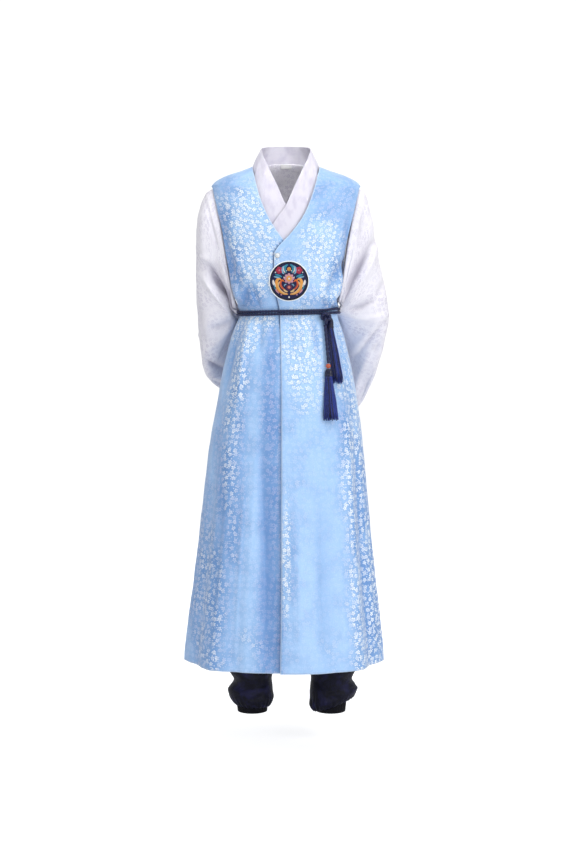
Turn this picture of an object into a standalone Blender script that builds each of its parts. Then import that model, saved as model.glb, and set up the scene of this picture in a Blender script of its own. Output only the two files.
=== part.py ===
"""A man's hanbok, worn and hollow: a sleeveless long coat over a white jacket and trousers.

Metres, +Z up. The front faces -Y and the wearer's left is +X. The origin is in the middle of the neck,
level with the tops of the shoulders, where the wearer carries the clothes.
Sizes below are millimetres. Angles run round the body: 0 at the centre front, 90 at the wearer's left
side, 180 at the centre back.
"""

import math

import bmesh
import bpy
import numpy as np
from mathutils import Matrix, Vector

MM = 0.001

# Cloth and clearances
COAT_WALL = 2.0
JACKET_WALL = 1.5
TROUSER_WALL = 1.6
COLLAR_WALL = 1.8
LAYER_GAP = 3.4
SEAM_HALF_GAP = 0.2
LAP_GAP = 1.4

# The coat's outer form, from the neck to the hem
HEM = -1235.0
BELT = -371.0
SHOULDER_TOP = -9.0
BODY_POWER = 2.35
COAT_FORM = (
    # height, half width, front depth, back depth
    (10.0, 79.0, 44.0, 55.0),
    (-2.0, 83.0, 45.0, 57.0),
    (-9.0, 87.0, 48.0, 59.0),
    (-12.5, 95.0, 52.0, 62.0),
    (-20.0, 116.0, 57.0, 67.0),
    (-27.5, 139.0, 62.0, 71.0),
    (-35.0, 157.0, 67.0, 75.0),
    (-42.5, 171.0, 71.0, 79.0),
    (-50.0, 180.0, 74.0, 83.0),
    (-57.5, 185.0, 77.0, 86.0),
    (-75.0, 187.0, 83.0, 92.0),
    (-100.0, 185.0, 91.0, 99.0),
    (-137.0, 180.0, 101.0, 106.0),
    (-187.0, 172.0, 111.0, 109.0),
    (-237.0, 163.0, 115.0, 107.0),
    (-287.0, 152.0, 113.0, 102.0),
    (-325.0, 140.0, 108.0, 97.0),
    (-350.0, 131.0, 102.0, 92.0),
    (-362.0, 126.0, 98.6, 89.6),
    (-371.0, 125.2, 98.0, 89.0),
    (-380.0, 126.0, 98.7, 89.7),
    (-412.0, 137.0, 107.0, 98.0),
    (-462.0, 150.0, 119.0, 109.0),
    (-512.0, 161.0, 130.0, 120.0),
    (-587.0, 174.5, 142.0, 133.0),
    (-662.0, 187.0, 151.0, 146.0),
    (-787.0, 201.0, 165.0, 161.0),
    (-887.0, 211.0, 174.0, 171.0),
    (-987.0, 221.0, 183.0, 180.0),
    (-1087.0, 233.0, 191.0, 188.0),
    (-1187.0, 245.0, 198.0, 195.0),
    (-1240.0, 249.0, 201.0, 198.0),
)
# How far the whole skirt stands to one side of the body's middle
SKIRT_LEAN = (
    # height, sideways shift
    (0.0, 0.0),
    (-587.0, 0.0),
    (-900.0, -1.5),
    (-1240.0, -4.5),
)
# Long soft folds of the skirt; a depth below zero is a valley
SKIRT_FOLDS = (
    # angle, half width in degrees, depth at the hem, height where it starts
    (-62.0, 12.0, -9.0, -400.0),
    (-43.0, 9.0, 6.0, -420.0),
    (-27.0, 8.0, -8.0, -470.0),
    (27.0, 10.0, -6.0, -520.0),
    (45.0, 9.0, 5.0, -430.0),
    (60.0, 11.0, -9.0, -400.0),
    (78.0, 8.0, 5.0, -430.0),
    (-80.0, 8.0, 5.0, -430.0),
    (112.0, 11.0, -10.0, -410.0),
    (133.0, 10.0, 7.0, -430.0),
    (152.0, 10.0, -10.0, -400.0),
    (180.0, 13.0, 7.0, -400.0),
    (207.0, 10.0, -10.0, -400.0),
    (228.0, 10.0, 7.0, -430.0),
    (249.0, 11.0, -10.0, -410.0),
)
# Cloth that the belt draws in bulges out just above it
BLOUSE_FOLDS = (
    # angle, half width in degrees, height out, middle height, half height
    (-58.0, 10.0, 4.0, -318.0, 46.0),
    (-36.0, 9.0, 3.0, -325.0, 40.0),
    (38.0, 9.0, 3.5, -322.0, 42.0),
    (60.0, 9.0, 4.5, -312.0, 50.0),
    (125.0, 12.0, 4.0, -320.0, 44.0),
    (155.0, 12.0, 4.0, -325.0, 40.0),
    (205.0, 12.0, 4.0, -325.0, 40.0),
    (235.0, 12.0, 4.0, -320.0, 44.0),
)
BACK_NECK_RISE = 12.0

# Cut edges of the coat
COAT_ARMHOLE = {"middle": -205.0, "half": 148.0, "dip": 0.10}
LEFT_FRONT_EDGE = (
    # height, sideways place of the edge
    (-9.0, 83.5),
    (-38.0, 76.5),
    (-87.0, 62.0),
    (-129.0, 44.5),
    (-175.0, 12.0),
    (-192.0, -4.0),
    (-212.0, -22.0),
    (-226.0, -29.0),
    (-250.0, -29.0),
    (-312.0, -26.0),
    (-371.0, -15.0),
    (-587.0, -11.0),
    (-987.0, -11.0),
    (-1240.0, -14.0),
)
RIGHT_FRONT_EDGE = (
    # height, sideways place of the edge, which the left front hides below the V
    (-9.0, -83.5),
    (-38.0, -76.8),
    (-79.0, -66.3),
    (-129.0, -46.0),
    (-167.0, -23.7),
    (-190.0, -6.8),
    (-212.0, 12.0),
    (-240.0, 36.0),
    (-320.0, 42.0),
    (-1240.0, 60.0),
)
COAT_SKIRT_HEIGHTS = (
    HEM, -1130.0, -1015.0, -900.0, -790.0, -680.0, -580.0, -500.0, -440.0, -402.0, -382.0, BELT, -361.0,
)
NECKLINE_HEIGHTS = [-232.0, -177.0, -125.0]
SHOULDER_HEIGHTS = (-46.0, -36.0, -26.0, -18.0, -12.5, SHOULDER_TOP)
FRONT_COLUMNS = 11
BACK_COLUMNS = 16
# The under front sinks behind the edge of the over front, more towards the hem
UNDER_FRONT_SINK = (
    # height, depth
    (0.0, COAT_WALL + LAP_GAP),
    (-400.0, COAT_WALL + LAP_GAP),
    (-700.0, 9.0),
    (-1240.0, 16.0),
)
UNDER_FRONT_FULL = -16.0
UNDER_FRONT_NONE = -48.0

# Jacket
JACKET_HEM = -560.0
JACKET_ARMHOLE = {"middle": -203.5, "half": 143.5, "dip": 0.085}
JACKET_EASE = (
    # height, how much further inside the coat it lies
    (0.0, 0.0),
    (-400.0, 0.0),
    (-560.0, 13.0),
)
JACKET_SKIRT_HEIGHTS = (JACKET_HEM, -480.0, -425.0, -386.0, BELT, -359.0)
JACKET_LAP_EDGE = 55.0
COLLAR_UNDER_COAT = 5.0

# Collar band: the seam edge follows the neckline, the free edge is placed here for the wearer's left
COLLAR_FREE_EDGE = (
    # place along the band, sideways, depth, height
    (0.0, 0.0, 53.0, 46.0),
    (1.0, 34.0, 46.0, 45.0),
    (2.0, 55.0, 25.0, 41.5),
    (3.0, 61.0, -1.0, 36.0),
    (4.0, 56.0, -30.0, 16.0),
    (5.0, 45.0, -53.0, -8.0),
    (6.0, 24.0, -72.0, -52.0),
    (7.0, 0.0, -85.0, -105.0),
    (8.0, -24.0, -93.5, -140.0),
    (9.0, -44.0, -98.6, -172.0),
)
COLLAR_SEAM_EDGE = (
    # place along the band, angle round the neck, height of the form it lies on
    (0.0, 180.0, 3.5),
    (1.0, 145.0, 2.0),
    (2.0, 112.0, -4.0),
    (3.0, 90.0, -8.4),
)
COLLAR_FRONT_HEIGHTS = (
    # place along the band, height
    (3.0, -9.0),
    (4.0, -46.0),
    (5.0, -84.0),
    (6.0, -120.0),
    (7.0, -158.0),
    (8.0, -195.0),
    (9.0, -226.0),
)

# Sleeves: each row is a ring from its outer or lower point to its inner or upper point
RIGHT_SLEEVE = (
    # outer x, y, z, inner x, y, z, half thickness, how much thinner the outer edge is
    (198.0, 0.0, -72.0, 143.0, 0.0, -344.0, 51.0, 0.00),
    (209.0, 2.0, -92.0, 142.0, 4.0, -350.0, 54.0, 0.00),
    (218.0, 7.0, -125.0, 141.0, 10.0, -354.0, 56.0, 0.00),
    (224.0, 10.0, -180.0, 140.0, 14.0, -357.0, 55.0, 0.00),
    (225.0, 12.0, -240.0, 142.0, 14.0, -360.0, 49.0, 0.05),
    (225.0, 16.0, -310.0, 143.0, 22.0, -362.0, 45.0, 0.10),
    (222.0, 28.0, -385.0, 144.0, 38.0, -364.0, 45.0, 0.20),
    (214.0, 52.0, -455.0, 144.0, 66.0, -366.0, 45.0, 0.30),
    (206.0, 80.0, -512.0, 146.0, 88.0, -367.0, 43.0, 0.40),
    (182.0, 122.0, -556.0, 140.0, 116.0, -367.0, 41.0, 0.50),
    (148.0, 160.0, -576.0, 122.0, 138.0, -367.0, 39.0, 0.55),
    (108.0, 182.0, -578.0, 92.0, 152.0, -369.0, 37.0, 0.60),
    (68.0, 190.0, -558.0, 60.0, 160.0, -376.0, 35.0, 0.60),
    (30.0, 190.0, -530.0, 27.0, 164.0, -388.0, 33.0, 0.60),
)
LEFT_SLEEVE = (
    # outer x, y, z, inner x, y, z, half thickness, how much thinner the outer edge is
    (196.0, 0.0, -72.0, 143.0, 0.0, -344.0, 51.0, 0.00),
    (204.0, 2.0, -95.0, 142.0, 4.0, -350.0, 54.0, 0.00),
    (212.0, 6.0, -137.0, 141.0, 10.0, -354.0, 56.0, 0.00),
    (224.0, 8.0, -195.0, 140.0, 14.0, -357.0, 55.0, 0.00),
    (238.0, 10.0, -262.0, 141.0, 16.0, -360.0, 50.0, 0.05),
    (252.0, 14.0, -330.0, 142.0, 26.0, -362.0, 47.0, 0.10),
    (259.0, 26.0, -382.0, 143.0, 42.0, -364.0, 46.0, 0.20),
    (249.0, 48.0, -438.0, 144.0, 66.0, -366.0, 45.0, 0.30),
    (234.0, 80.0, -500.0, 146.0, 88.0, -367.0, 43.0, 0.40),
    (214.0, 122.0, -560.0, 140.0, 116.0, -367.0, 41.0, 0.50),
    (182.0, 162.0, -618.0, 122.0, 140.0, -367.0, 40.0, 0.55),
    (132.0, 192.0, -634.0, 92.0, 156.0, -369.0, 38.0, 0.60),
    (82.0, 202.0, -598.0, 60.0, 164.0, -376.0, 36.0, 0.60),
    (34.0, 200.0, -548.0, 27.0, 168.0, -390.0, 34.0, 0.60),
)
SLEEVE_RINGS = 17
SLEEVE_SIDES = 16
SLEEVE_POWER = 2.2

# Trousers: rings of one leg, joined to the other leg above the fork
TROUSER_TOP = -413.0
LEFT_LEG = (
    # height, centre sideways, centre depth, half width, half depth
    (TROUSER_TOP, 0.0, -4.0, 110.0, 80.0),
    (-470.0, 2.0, -3.0, 126.0, 93.0),
    (-540.0, 14.0, -1.0, 122.0, 101.0),
    (-600.0, 40.0, 0.0, 104.0, 101.0),
    (-650.0, 66.0, 1.0, 88.0, 98.0),
    (-695.0, 82.0, 2.0, 82.5, 96.0),
    (-730.0, 87.0, 2.0, 83.0, 94.0),
    (-850.0, 92.0, 2.0, 84.0, 88.0),
    (-1000.0, 99.0, 2.0, 76.0, 80.0),
    (-1130.0, 106.0, 2.0, 66.0, 70.0),
    (-1225.0, 112.0, 2.0, 58.0, 62.0),
    (-1262.0, 112.0, 2.0, 53.0, 58.0),
    (-1292.0, 113.0, 2.0, 54.5, 59.0),
    (-1318.0, 113.0, 2.0, 52.0, 56.0),
    (-1334.0, 112.0, 3.0, 45.0, 49.0),
    (-1342.0, 111.0, 3.0, 37.0, 41.0),
)
RIGHT_LEG_SHIFT = 28.0
TROUSER_HEIGHTS = (
    TROUSER_TOP, -470.0, -540.0, -600.0, -650.0, -705.0, -840.0, -1000.0, -1140.0, -1225.0, -1262.0,
    -1292.0, -1318.0, -1334.0, -1342.0,
)
TROUSER_COLUMNS = 15
WAISTBAND = {"top": -378.0, "bottom": -412.6, "inside_coat": 14.3, "wall": 2.0}
ANKLE_BAND = {"top": -1342.6, "bottom": -1371.0, "half_width": 36.0, "half_depth": 40.0, "wall": 2.4}

# Cord belt and tassels
CORD = 6.4
BELT_STRANDS = (
    # name, height at the front, rise towards the wearer's left, gap that opens before the knot
    ("belt_cord_upper", -366.8, 2.0, 3.0),
    ("belt_cord_lower", -374.0, 2.0, 0.0),
)
BELT_POINTS = 40
KNOT = {"x": 98.0, "z": -381.0, "half": (14.0, 7.0, 17.5), "clear": 0.4}
END_CORD = {"x": 96.0, "drift": 7.5, "top": -398.5, "bottom": -490.7, "across": 8.2, "out": 11.0}
BEAD = {"z": -497.5, "x": 103.0, "radius": 6.3}
LONG_TASSEL = {
    "x": 104.0, "top": -504.2, "neck": -524.0, "out": 10.0,
    "tip_x": 110.0, "tip": -630.0, "tip_out": 13.5, "head": 9.5, "spread": 19.0,
}
TASSEL_RINGS = (0.33, 0.3)
TASSEL_STEPS = (0.45, 1.0)
TASSEL_FLATNESS = 0.55
SHORT_TASSEL = {
    "x": 109.0, "top": -380.6, "neck": -408.0, "out": 5.5,
    "tip_x": 128.0, "tip": -538.0, "tip_out": 9.0, "head": 5.0, "spread": 10.5,
}

# Trim
ROUNDEL = {"x": 7.5, "z": -291.5, "radius": 47.0, "thick": 1.6}
BUTTON = {"x": -20.5, "z": -229.5, "radius": 5.6, "thick": 4.2}
LABEL = {"half_turn": 7.0, "heights": (-7.5, -2.5, 2.5), "thick": 0.6}

COLOURS = {
    # name: colour, roughness
    "sky_brocade": ((0.36, 0.58, 0.90), 0.45),
    "white_brocade": ((0.86, 0.86, 0.90), 0.55),
    "white_collar": ((0.90, 0.89, 0.92), 0.6),
    "navy_cloth": ((0.02, 0.02, 0.06), 0.7),
    "navy_cord": ((0.02, 0.03, 0.16), 0.5),
    "navy_satin": ((0.015, 0.02, 0.07), 0.45),
    "amber_bead": ((0.75, 0.22, 0.06), 0.25),
    "pearl": ((0.88, 0.88, 0.86), 0.2),
}


def clear_scene():
    for item in list(bpy.data.objects):
        bpy.data.objects.remove(item, do_unlink=True)


def smooth(table, column, at):
    """A table's column at any height or place, through its rows without overshoot."""
    rows = sorted(table)
    xs = np.array([row[0] for row in rows], float)
    ys = np.array([row[column] for row in rows], float)
    at = min(max(at, xs[0]), xs[-1])
    steps = np.diff(xs)
    slopes = np.diff(ys) / steps
    tangents = np.zeros(len(xs))
    tangents[0], tangents[-1] = slopes[0], slopes[-1]
    for k in range(1, len(xs) - 1):
        if slopes[k - 1] * slopes[k] > 0:
            w1 = 2 * steps[k] + steps[k - 1]
            w2 = steps[k] + 2 * steps[k - 1]
            tangents[k] = (w1 + w2) / (w1 / slopes[k - 1] + w2 / slopes[k])
    k = int(min(max(np.searchsorted(xs, at, side="right") - 1, 0), len(steps) - 1))
    h = steps[k]
    t = (at - xs[k]) / h
    return float(
        ys[k] * (1 + 2 * t) * (1 - t) ** 2
        + tangents[k] * h * t * (1 - t) ** 2
        + ys[k + 1] * t * t * (3 - 2 * t)
        + tangents[k + 1] * h * t * t * (t - 1)
    )


def ease(value, none, full):
    """0 at none and 1 at full, with soft ends."""
    t = min(max((value - none) / (full - none), 0.0), 1.0)
    return t * t * (3 - 2 * t)


def bump(value, middle, half):
    """1 at the middle, 0 from half away."""
    t = abs(value - middle) / half
    return math.cos(t * math.pi / 2) ** 2 if t < 1 else 0.0


def turn_between(angle, middle):
    """The angle measured from middle, between -180 and 180."""
    return (angle - middle + 180.0) % 360.0 - 180.0


def signed_power(value, power):
    return math.copysign(abs(value) ** power, value)


def coat_size(height):
    return tuple(smooth(COAT_FORM, column, height) for column in (1, 2, 3))


def on_body(angle, height, out):
    """A point on the coat's plain form, moved out along the form's normal."""
    wide, front, back = coat_size(height)
    wide_2, front_2, back_2 = coat_size(height + 0.5)
    a = math.radians(angle)
    deep, deep_2 = (front, front_2) if math.cos(a) > 0 else (back, back_2)
    x = signed_power(math.sin(a), 2 / BODY_POWER)
    y = -signed_power(math.cos(a), 2 / BODY_POWER)
    slope = abs(x) ** BODY_POWER * (wide_2 - wide) / wide + abs(y) ** BODY_POWER * (deep_2 - deep) / deep
    normal = Vector((
        signed_power(x, BODY_POWER - 1) / wide,
        signed_power(y, BODY_POWER - 1) / deep,
        -slope / 0.5,
    )).normalized()
    lean = smooth(SKIRT_LEAN, 1, height)
    return Vector((wide * x + lean, deep * y, height)) + normal * out


def angle_at(sideways, height):
    """The angle at which the front of the form has this sideways place."""
    wide = coat_size(height)[0]
    lean = smooth(SKIRT_LEAN, 1, height)
    share = max(-1.0, min(1.0, (sideways - lean) / wide))
    return math.degrees(math.asin(signed_power(share, BODY_POWER / 2)))


def fold_depth(angle, height):
    """How far the coat's folds move its cloth out or in."""
    depth = 0.0
    for middle, half, at_hem, start in SKIRT_FOLDS:
        depth += at_hem * bump(turn_between(angle, middle), 0.0, half) * ease(height, start, HEM) ** 0.8
    for middle, half, out, level, reach in BLOUSE_FOLDS:
        depth += out * bump(turn_between(angle, middle), 0.0, half) * bump(height, level, reach)
    return depth


def on_coat(angle, height, out):
    return on_body(angle, height, out + fold_depth(angle, height))


def armhole_angle(height, armhole):
    """The angle of an armhole's front edge, 90 where the side or the shoulder is whole."""
    along = (height - armhole["middle"]) / armhole["half"]
    if abs(along) >= 1:
        return 90.0
    share = 1 - armhole["dip"] * math.sqrt(1 - along * along)
    return math.degrees(math.asin(share ** (BODY_POWER / 2)))


def raised(angle, height):
    """Heights near the back of the neck rise towards its middle."""
    rise = BACK_NECK_RISE * ease(abs(turn_between(angle, 0.0)), 90.0, 150.0)
    return height + rise * ease(height, -45.0, SHOULDER_TOP)


def armhole_heights(armhole):
    """Rows of a panel beside an armhole, closer near its top and bottom."""
    steps = SLEEVE_SIDES // 2
    return [armhole["middle"] - armhole["half"] * math.cos(math.pi * k / steps) for k in range(steps + 1)]


def coat_heights():
    return [*COAT_SKIRT_HEIGHTS, *sorted(armhole_heights(COAT_ARMHOLE) + NECKLINE_HEIGHTS), *SHOULDER_HEIGHTS]


def jacket_heights():
    beside = sorted(armhole_heights(JACKET_ARMHOLE) + NECKLINE_HEIGHTS)
    return [*JACKET_SKIRT_HEIGHTS, *beside, *SHOULDER_HEIGHTS[1:]]


def material(name):
    found = bpy.data.materials.get(name)
    if found:
        return found
    colour, roughness = COLOURS[name]
    made = bpy.data.materials.new(name)
    made.use_nodes = True
    shader = made.node_tree.nodes["Principled BSDF"]
    shader.inputs["Base Color"].default_value = (*colour, 1.0)
    shader.inputs["Roughness"].default_value = roughness
    shader.inputs["Metallic"].default_value = 0.0
    return made


def add_object(name, mesh, finish):
    mesh.materials.append(material(finish))
    made = bpy.data.objects.new(name, mesh)
    PARTS.objects.link(made)
    return made


def grid_faces(rows, columns, closed, start=0, flip=False):
    faces = []
    across = columns if closed else columns - 1
    for i in range(rows - 1):
        for j in range(across):
            k = (j + 1) % columns
            face = (
                start + i * columns + j,
                start + i * columns + k,
                start + (i + 1) * columns + k,
                start + (i + 1) * columns + j,
            )
            faces.append(face[::-1] if flip else face)
    return faces


def wall(name, outer, inner, finish):
    """A panel of cloth between two grids of points, given from the hem up and anticlockwise from above."""
    rows, columns = len(outer), len(outer[0])
    points = [p * MM for row in outer for p in row] + [p * MM for row in inner for p in row]
    half = rows * columns
    faces = grid_faces(rows, columns, False) + grid_faces(rows, columns, False, half, flip=True)
    rim = [(0, j) for j in range(columns)]
    rim += [(i, columns - 1) for i in range(1, rows)]
    rim += [(rows - 1, j) for j in range(columns - 2, -1, -1)]
    rim += [(i, 0) for i in range(rows - 2, 0, -1)]
    ids = [i * columns + j for i, j in rim]
    for a, b in zip(ids, ids[1:] + ids[:1]):
        faces.append((b, a, a + half, b + half))
    mesh = bpy.data.meshes.new(name)
    mesh.from_pydata(points, [], faces)
    mesh.shade_smooth()
    return add_object(name, mesh, finish)


def shell(name, rings, thickness, finish, closed=True):
    """A tube or strip of cloth: an open surface whose wall grows inwards."""
    rows, columns = len(rings), len(rings[0])
    mesh = bpy.data.meshes.new(name)
    mesh.from_pydata([p * MM for ring in rings for p in ring], [], grid_faces(rows, columns, closed))
    mesh.shade_smooth()
    made = add_object(name, mesh, finish)
    thick = made.modifiers.new("Wall", "SOLIDIFY")
    thick.thickness = thickness * MM
    thick.offset = -1.0
    return made


def panel(name, heights, start_angle, end_angle, columns, place, depth, thickness, finish, shift=0.0):
    """A wall of the coat or jacket between two edges given as angles at each height."""
    outer, inner = [], []
    push = Vector((0.0, shift, 0.0))
    for height in heights:
        a, b = start_angle(height), end_angle(height)
        angles = [a + (b - a) * j / (columns - 1) for j in range(columns)]
        outer.append([place(t, height, depth(t, height)) + push for t in angles])
        inner.append([place(t, height, depth(t, height) - thickness) + push for t in angles])
    return wall(name, outer, inner, finish)


def left_edge(height):
    return angle_at(smooth(LEFT_FRONT_EDGE, 1, height), height)


def right_edge(height):
    return angle_at(smooth(RIGHT_FRONT_EDGE, 1, height), height)


def under_depth(angle, height):
    """The under front's place inside the over front, none towards its own side seam."""
    return -smooth(UNDER_FRONT_SINK, 1, height) * ease(angle, UNDER_FRONT_NONE, UNDER_FRONT_FULL)


def on_raised_coat(angle, height, out):
    return on_coat(angle, raised(angle, height), out)


def on_raised_body(angle, height, out):
    return on_body(angle, raised(angle, height), out)


def coat():
    panel(
        "coat_front_left", coat_heights(), left_edge, lambda z: armhole_angle(z, COAT_ARMHOLE),
        FRONT_COLUMNS, on_coat, lambda t, z: 0.0, COAT_WALL, "sky_brocade", -SEAM_HALF_GAP,
    )
    panel(
        "coat_front_right", coat_heights(), lambda z: -armhole_angle(z, COAT_ARMHOLE), right_edge,
        FRONT_COLUMNS + 1, on_coat, under_depth, COAT_WALL, "sky_brocade", -SEAM_HALF_GAP,
    )
    panel(
        "coat_back", coat_heights(), lambda z: 180.0 - armhole_angle(z, COAT_ARMHOLE),
        lambda z: 180.0 + armhole_angle(z, COAT_ARMHOLE), BACK_COLUMNS, on_raised_coat,
        lambda t, z: 0.0, COAT_WALL, "sky_brocade", SEAM_HALF_GAP,
    )


def jacket_depth(angle, height):
    """The jacket lies inside both fronts of the coat, so it is deeper near the middle."""
    sink = (COAT_WALL + LAP_GAP) * (1 - ease(abs(turn_between(angle, 0.0)), 42.0, 66.0))
    return -(COAT_WALL + LAYER_GAP) - sink - smooth(JACKET_EASE, 1, height)


def jacket_lap():
    """How far the jacket's right front lies inside its left one."""
    return COLLAR_WALL + LAP_GAP + 0.6


def jacket_under_depth(angle, height):
    return jacket_depth(angle, height) - jacket_lap() * ease(angle, -62.0, -34.0)


def collar_line(height, side):
    """Sideways place of the collar's seam on the front, just inside the coat's edge."""
    table = LEFT_FRONT_EDGE if side > 0 else RIGHT_FRONT_EDGE
    return smooth(table, 1, height) + side * COLLAR_UNDER_COAT * ease(height, -12.0, -45.0)


def jacket_front_edge(height, side):
    """Below the collar's end the two fronts of the jacket cross, left over right."""
    cross = -side * JACKET_LAP_EDGE
    by_collar = collar_line(height, side) + side * (2.0 + 2.0 * ease(height, -46.0, -20.0))
    place = by_collar + (cross - by_collar) * ease(height, -229.0, -262.0)
    return angle_at(place, height)


def jacket():
    panel(
        "jacket_front_left", jacket_heights(), lambda z: jacket_front_edge(z, 1),
        lambda z: armhole_angle(z, JACKET_ARMHOLE), 8, on_body, jacket_depth, JACKET_WALL,
        "white_brocade", -SEAM_HALF_GAP,
    )
    panel(
        "jacket_front_right", jacket_heights(), lambda z: -armhole_angle(z, JACKET_ARMHOLE),
        lambda z: jacket_front_edge(z, -1), 8, on_body, jacket_under_depth, JACKET_WALL,
        "white_brocade", -SEAM_HALF_GAP,
    )
    panel(
        "jacket_back", jacket_heights(), lambda z: 180.0 - armhole_angle(z, JACKET_ARMHOLE),
        lambda z: 180.0 + armhole_angle(z, JACKET_ARMHOLE), BACK_COLUMNS, on_raised_body, jacket_depth,
        JACKET_WALL, "white_brocade", SEAM_HALF_GAP,
    )


def collar_edges(place, side):
    """The seam edge and the free edge of the collar band on one side of the neck."""
    free = Vector(tuple(smooth(COLLAR_FREE_EDGE, c, place) for c in (1, 2, 3)))
    free.x *= side
    if side < 0:
        free.y += (jacket_lap() + 0.6) * ease(place, 4.5, 6.6)
    if place <= 3.0:
        angle = smooth(COLLAR_SEAM_EDGE, 1, place)
        seam = on_body(angle, smooth(COLLAR_SEAM_EDGE, 2, place), -(COAT_WALL + LAYER_GAP))
        seam.x *= side
        seam.z += 0.5 + 1.2 * ease(place, 3.0, 1.0)
    else:
        height = smooth(COLLAR_FRONT_HEIGHTS, 1, place)
        angle = angle_at(collar_line(height, side), height)
        depth = jacket_depth if side > 0 else jacket_under_depth
        seam = on_body(angle, height, depth(angle, height))
        seam.y -= SEAM_HALF_GAP
    return seam, free


def collar():
    """One band from the wearer's right front, round the neck, to the left front on top."""
    places = [9.0, 8.3, 7.6, 6.9, 6.2, 5.5, 4.8, 4.1, 3.5, 3.0, 2.4, 1.6, 0.8]
    stations = [(p, -1) for p in places] + [(0.0, 1)] + [(p, 1) for p in places[::-1]]
    across = (0.0, 0.33, 0.67, 1.0)
    strips = []
    for place, side in stations:
        seam, free = collar_edges(place, side)
        strips.append([seam.lerp(free, share) for share in across])
    shell("collar_band", strips, COLLAR_WALL, "white_collar", closed=False)


def neck_label():
    """A blank label inside the back of the neck, sewn on below the collar."""
    depth = -(COAT_WALL + LAYER_GAP + JACKET_WALL + 0.9)
    panel(
        "neck_label", LABEL["heights"], lambda z: 180.0 - LABEL["half_turn"],
        lambda z: 180.0 + LABEL["half_turn"], 5, on_body, lambda t, z: depth, LABEL["thick"], "white_collar",
    )


def armhole_ring(side, armhole, depth, inset):
    """Points round an armhole, moved in from its edge along the body: top, front, bottom, back."""
    ring = []
    for k in range(SLEEVE_SIDES):
        t = 2 * math.pi * k / SLEEVE_SIDES
        edge = armhole_angle(armhole["middle"] + armhole["half"] * math.cos(t), armhole)
        edge += math.degrees(inset / coat_size(armhole["middle"])[1]) * abs(math.sin(t))
        height = armhole["middle"] + (armhole["half"] - inset) * math.cos(t)
        point = on_body(edge if math.sin(t) >= 0 else 180.0 - edge, height, depth)
        point.x *= side
        ring.append(point)
    return ring


def sleeve_ring(row, path, turned, side):
    """A ring between an outer and an inner point; it faces forward until the arm turns behind the back."""
    outer, inner = Vector(row[0:3]), Vector(row[3:6])
    middle = (outer + inner) / 2
    along = (outer - inner) / 2
    across = Vector((0.0, -1.0, 0.0)).lerp(path.cross(along).normalized(), turned)
    across -= along * (across.dot(along) / along.length_squared)
    across.normalize()
    ring = []
    for k in range(SLEEVE_SIDES):
        t = 2 * math.pi * k / SLEEVE_SIDES
        half = row[6] * (1.0 - row[7] * (0.5 + 0.5 * math.cos(t)))
        point = middle + along * signed_power(math.cos(t), 2 / SLEEVE_POWER)
        point += across * signed_power(math.sin(t), 2 / SLEEVE_POWER) * half
        point.x *= side
        ring.append(point)
    return ring


def sleeve(name, rows, side):
    """From the jacket's armhole, out of the coat's armhole, down to the elbow and behind the back."""
    table = [(float(k), *row) for k, row in enumerate(rows)]
    last = len(rows) - 1

    def row_at(place):
        return [smooth(table, column, place) for column in range(1, 9)]

    def middle_at(place):
        row = row_at(min(max(place, 0.0), last))
        return (Vector(row[0:3]) + Vector(row[3:6])) / 2

    rings = [
        armhole_ring(side, JACKET_ARMHOLE, -(COAT_WALL + LAYER_GAP), 2.5),
        armhole_ring(side, COAT_ARMHOLE, -COAT_WALL / 2, 7.0),
    ]
    for k in range(SLEEVE_RINGS):
        place = last * k / (SLEEVE_RINGS - 1)
        path = middle_at(place + 0.5) - middle_at(place - 0.5)
        rings.append(sleeve_ring(row_at(place), path, ease(place, 4.5, 8.0), side))
    if side > 0:
        rings = [ring[::-1] for ring in rings]
    shell(name, rings, JACKET_WALL, "white_brocade")


def leg_ring(height, side, shift):
    """Points round one leg from its inner front, by the outer side, to its inner back."""
    middle, back, half_width, half_depth = (smooth(LEFT_LEG, c, height) for c in (1, 2, 3, 4))
    cut = SEAM_HALF_GAP
    inner = middle - cut
    first = math.acos(inner / half_width) if inner < half_width else SEAM_HALF_GAP / half_depth
    ring = []
    for k in range(TROUSER_COLUMNS):
        t = first + (2 * math.pi - 2 * first) * k / (TROUSER_COLUMNS - 1)
        x = middle - half_width * math.cos(t)
        y = back - half_depth * math.sin(t)
        ring.append(Vector((side * x + shift, y, height)))
    return ring


def leg_wall(name, side):
    """Half of the trousers: a leg below the fork and half of the seat above it."""
    outer, inner = [], []
    for height in TROUSER_HEIGHTS:
        shift = RIGHT_LEG_SHIFT * ease(height, -700.0, -1225.0) * (side < 0)
        ring = leg_ring(height, side, shift)
        middle = Vector((side * smooth(LEFT_LEG, 1, height) + shift, ring[0].y, height))
        half_width = smooth(LEFT_LEG, 3, height)
        half_depth = smooth(LEFT_LEG, 4, height)
        back = smooth(LEFT_LEG, 2, height)
        thinner = []
        for p in ring:
            toward = Vector(((p.x - middle.x) / half_width**2, (p.y - back) / half_depth**2, 0.0))
            toward.normalize()
            q = p - toward * TROUSER_WALL
            thinner.append(q)
        for end in (0, -1):
            thinner[end].x = ring[end].x if abs(middle.x) < half_width else thinner[end].x
        outer.append(ring)
        inner.append(thinner)
    outer, inner = outer[::-1], inner[::-1]
    if side < 0:
        outer = [row[::-1] for row in outer]
        inner = [row[::-1] for row in inner]
    return wall(name, outer, inner, "navy_cloth")


def waist_band():
    rings = []
    for height, tuck in ((WAISTBAND["bottom"], 4.0), (WAISTBAND["top"], 0.0)):
        ring = [on_body(12.0 * k, BELT, -WAISTBAND["inside_coat"] - tuck) for k in range(30)]
        for point in ring:
            point.z = height
        rings.append(ring)
    shell("trouser_waistband", rings, WAISTBAND["wall"], "navy_cloth")


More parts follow.
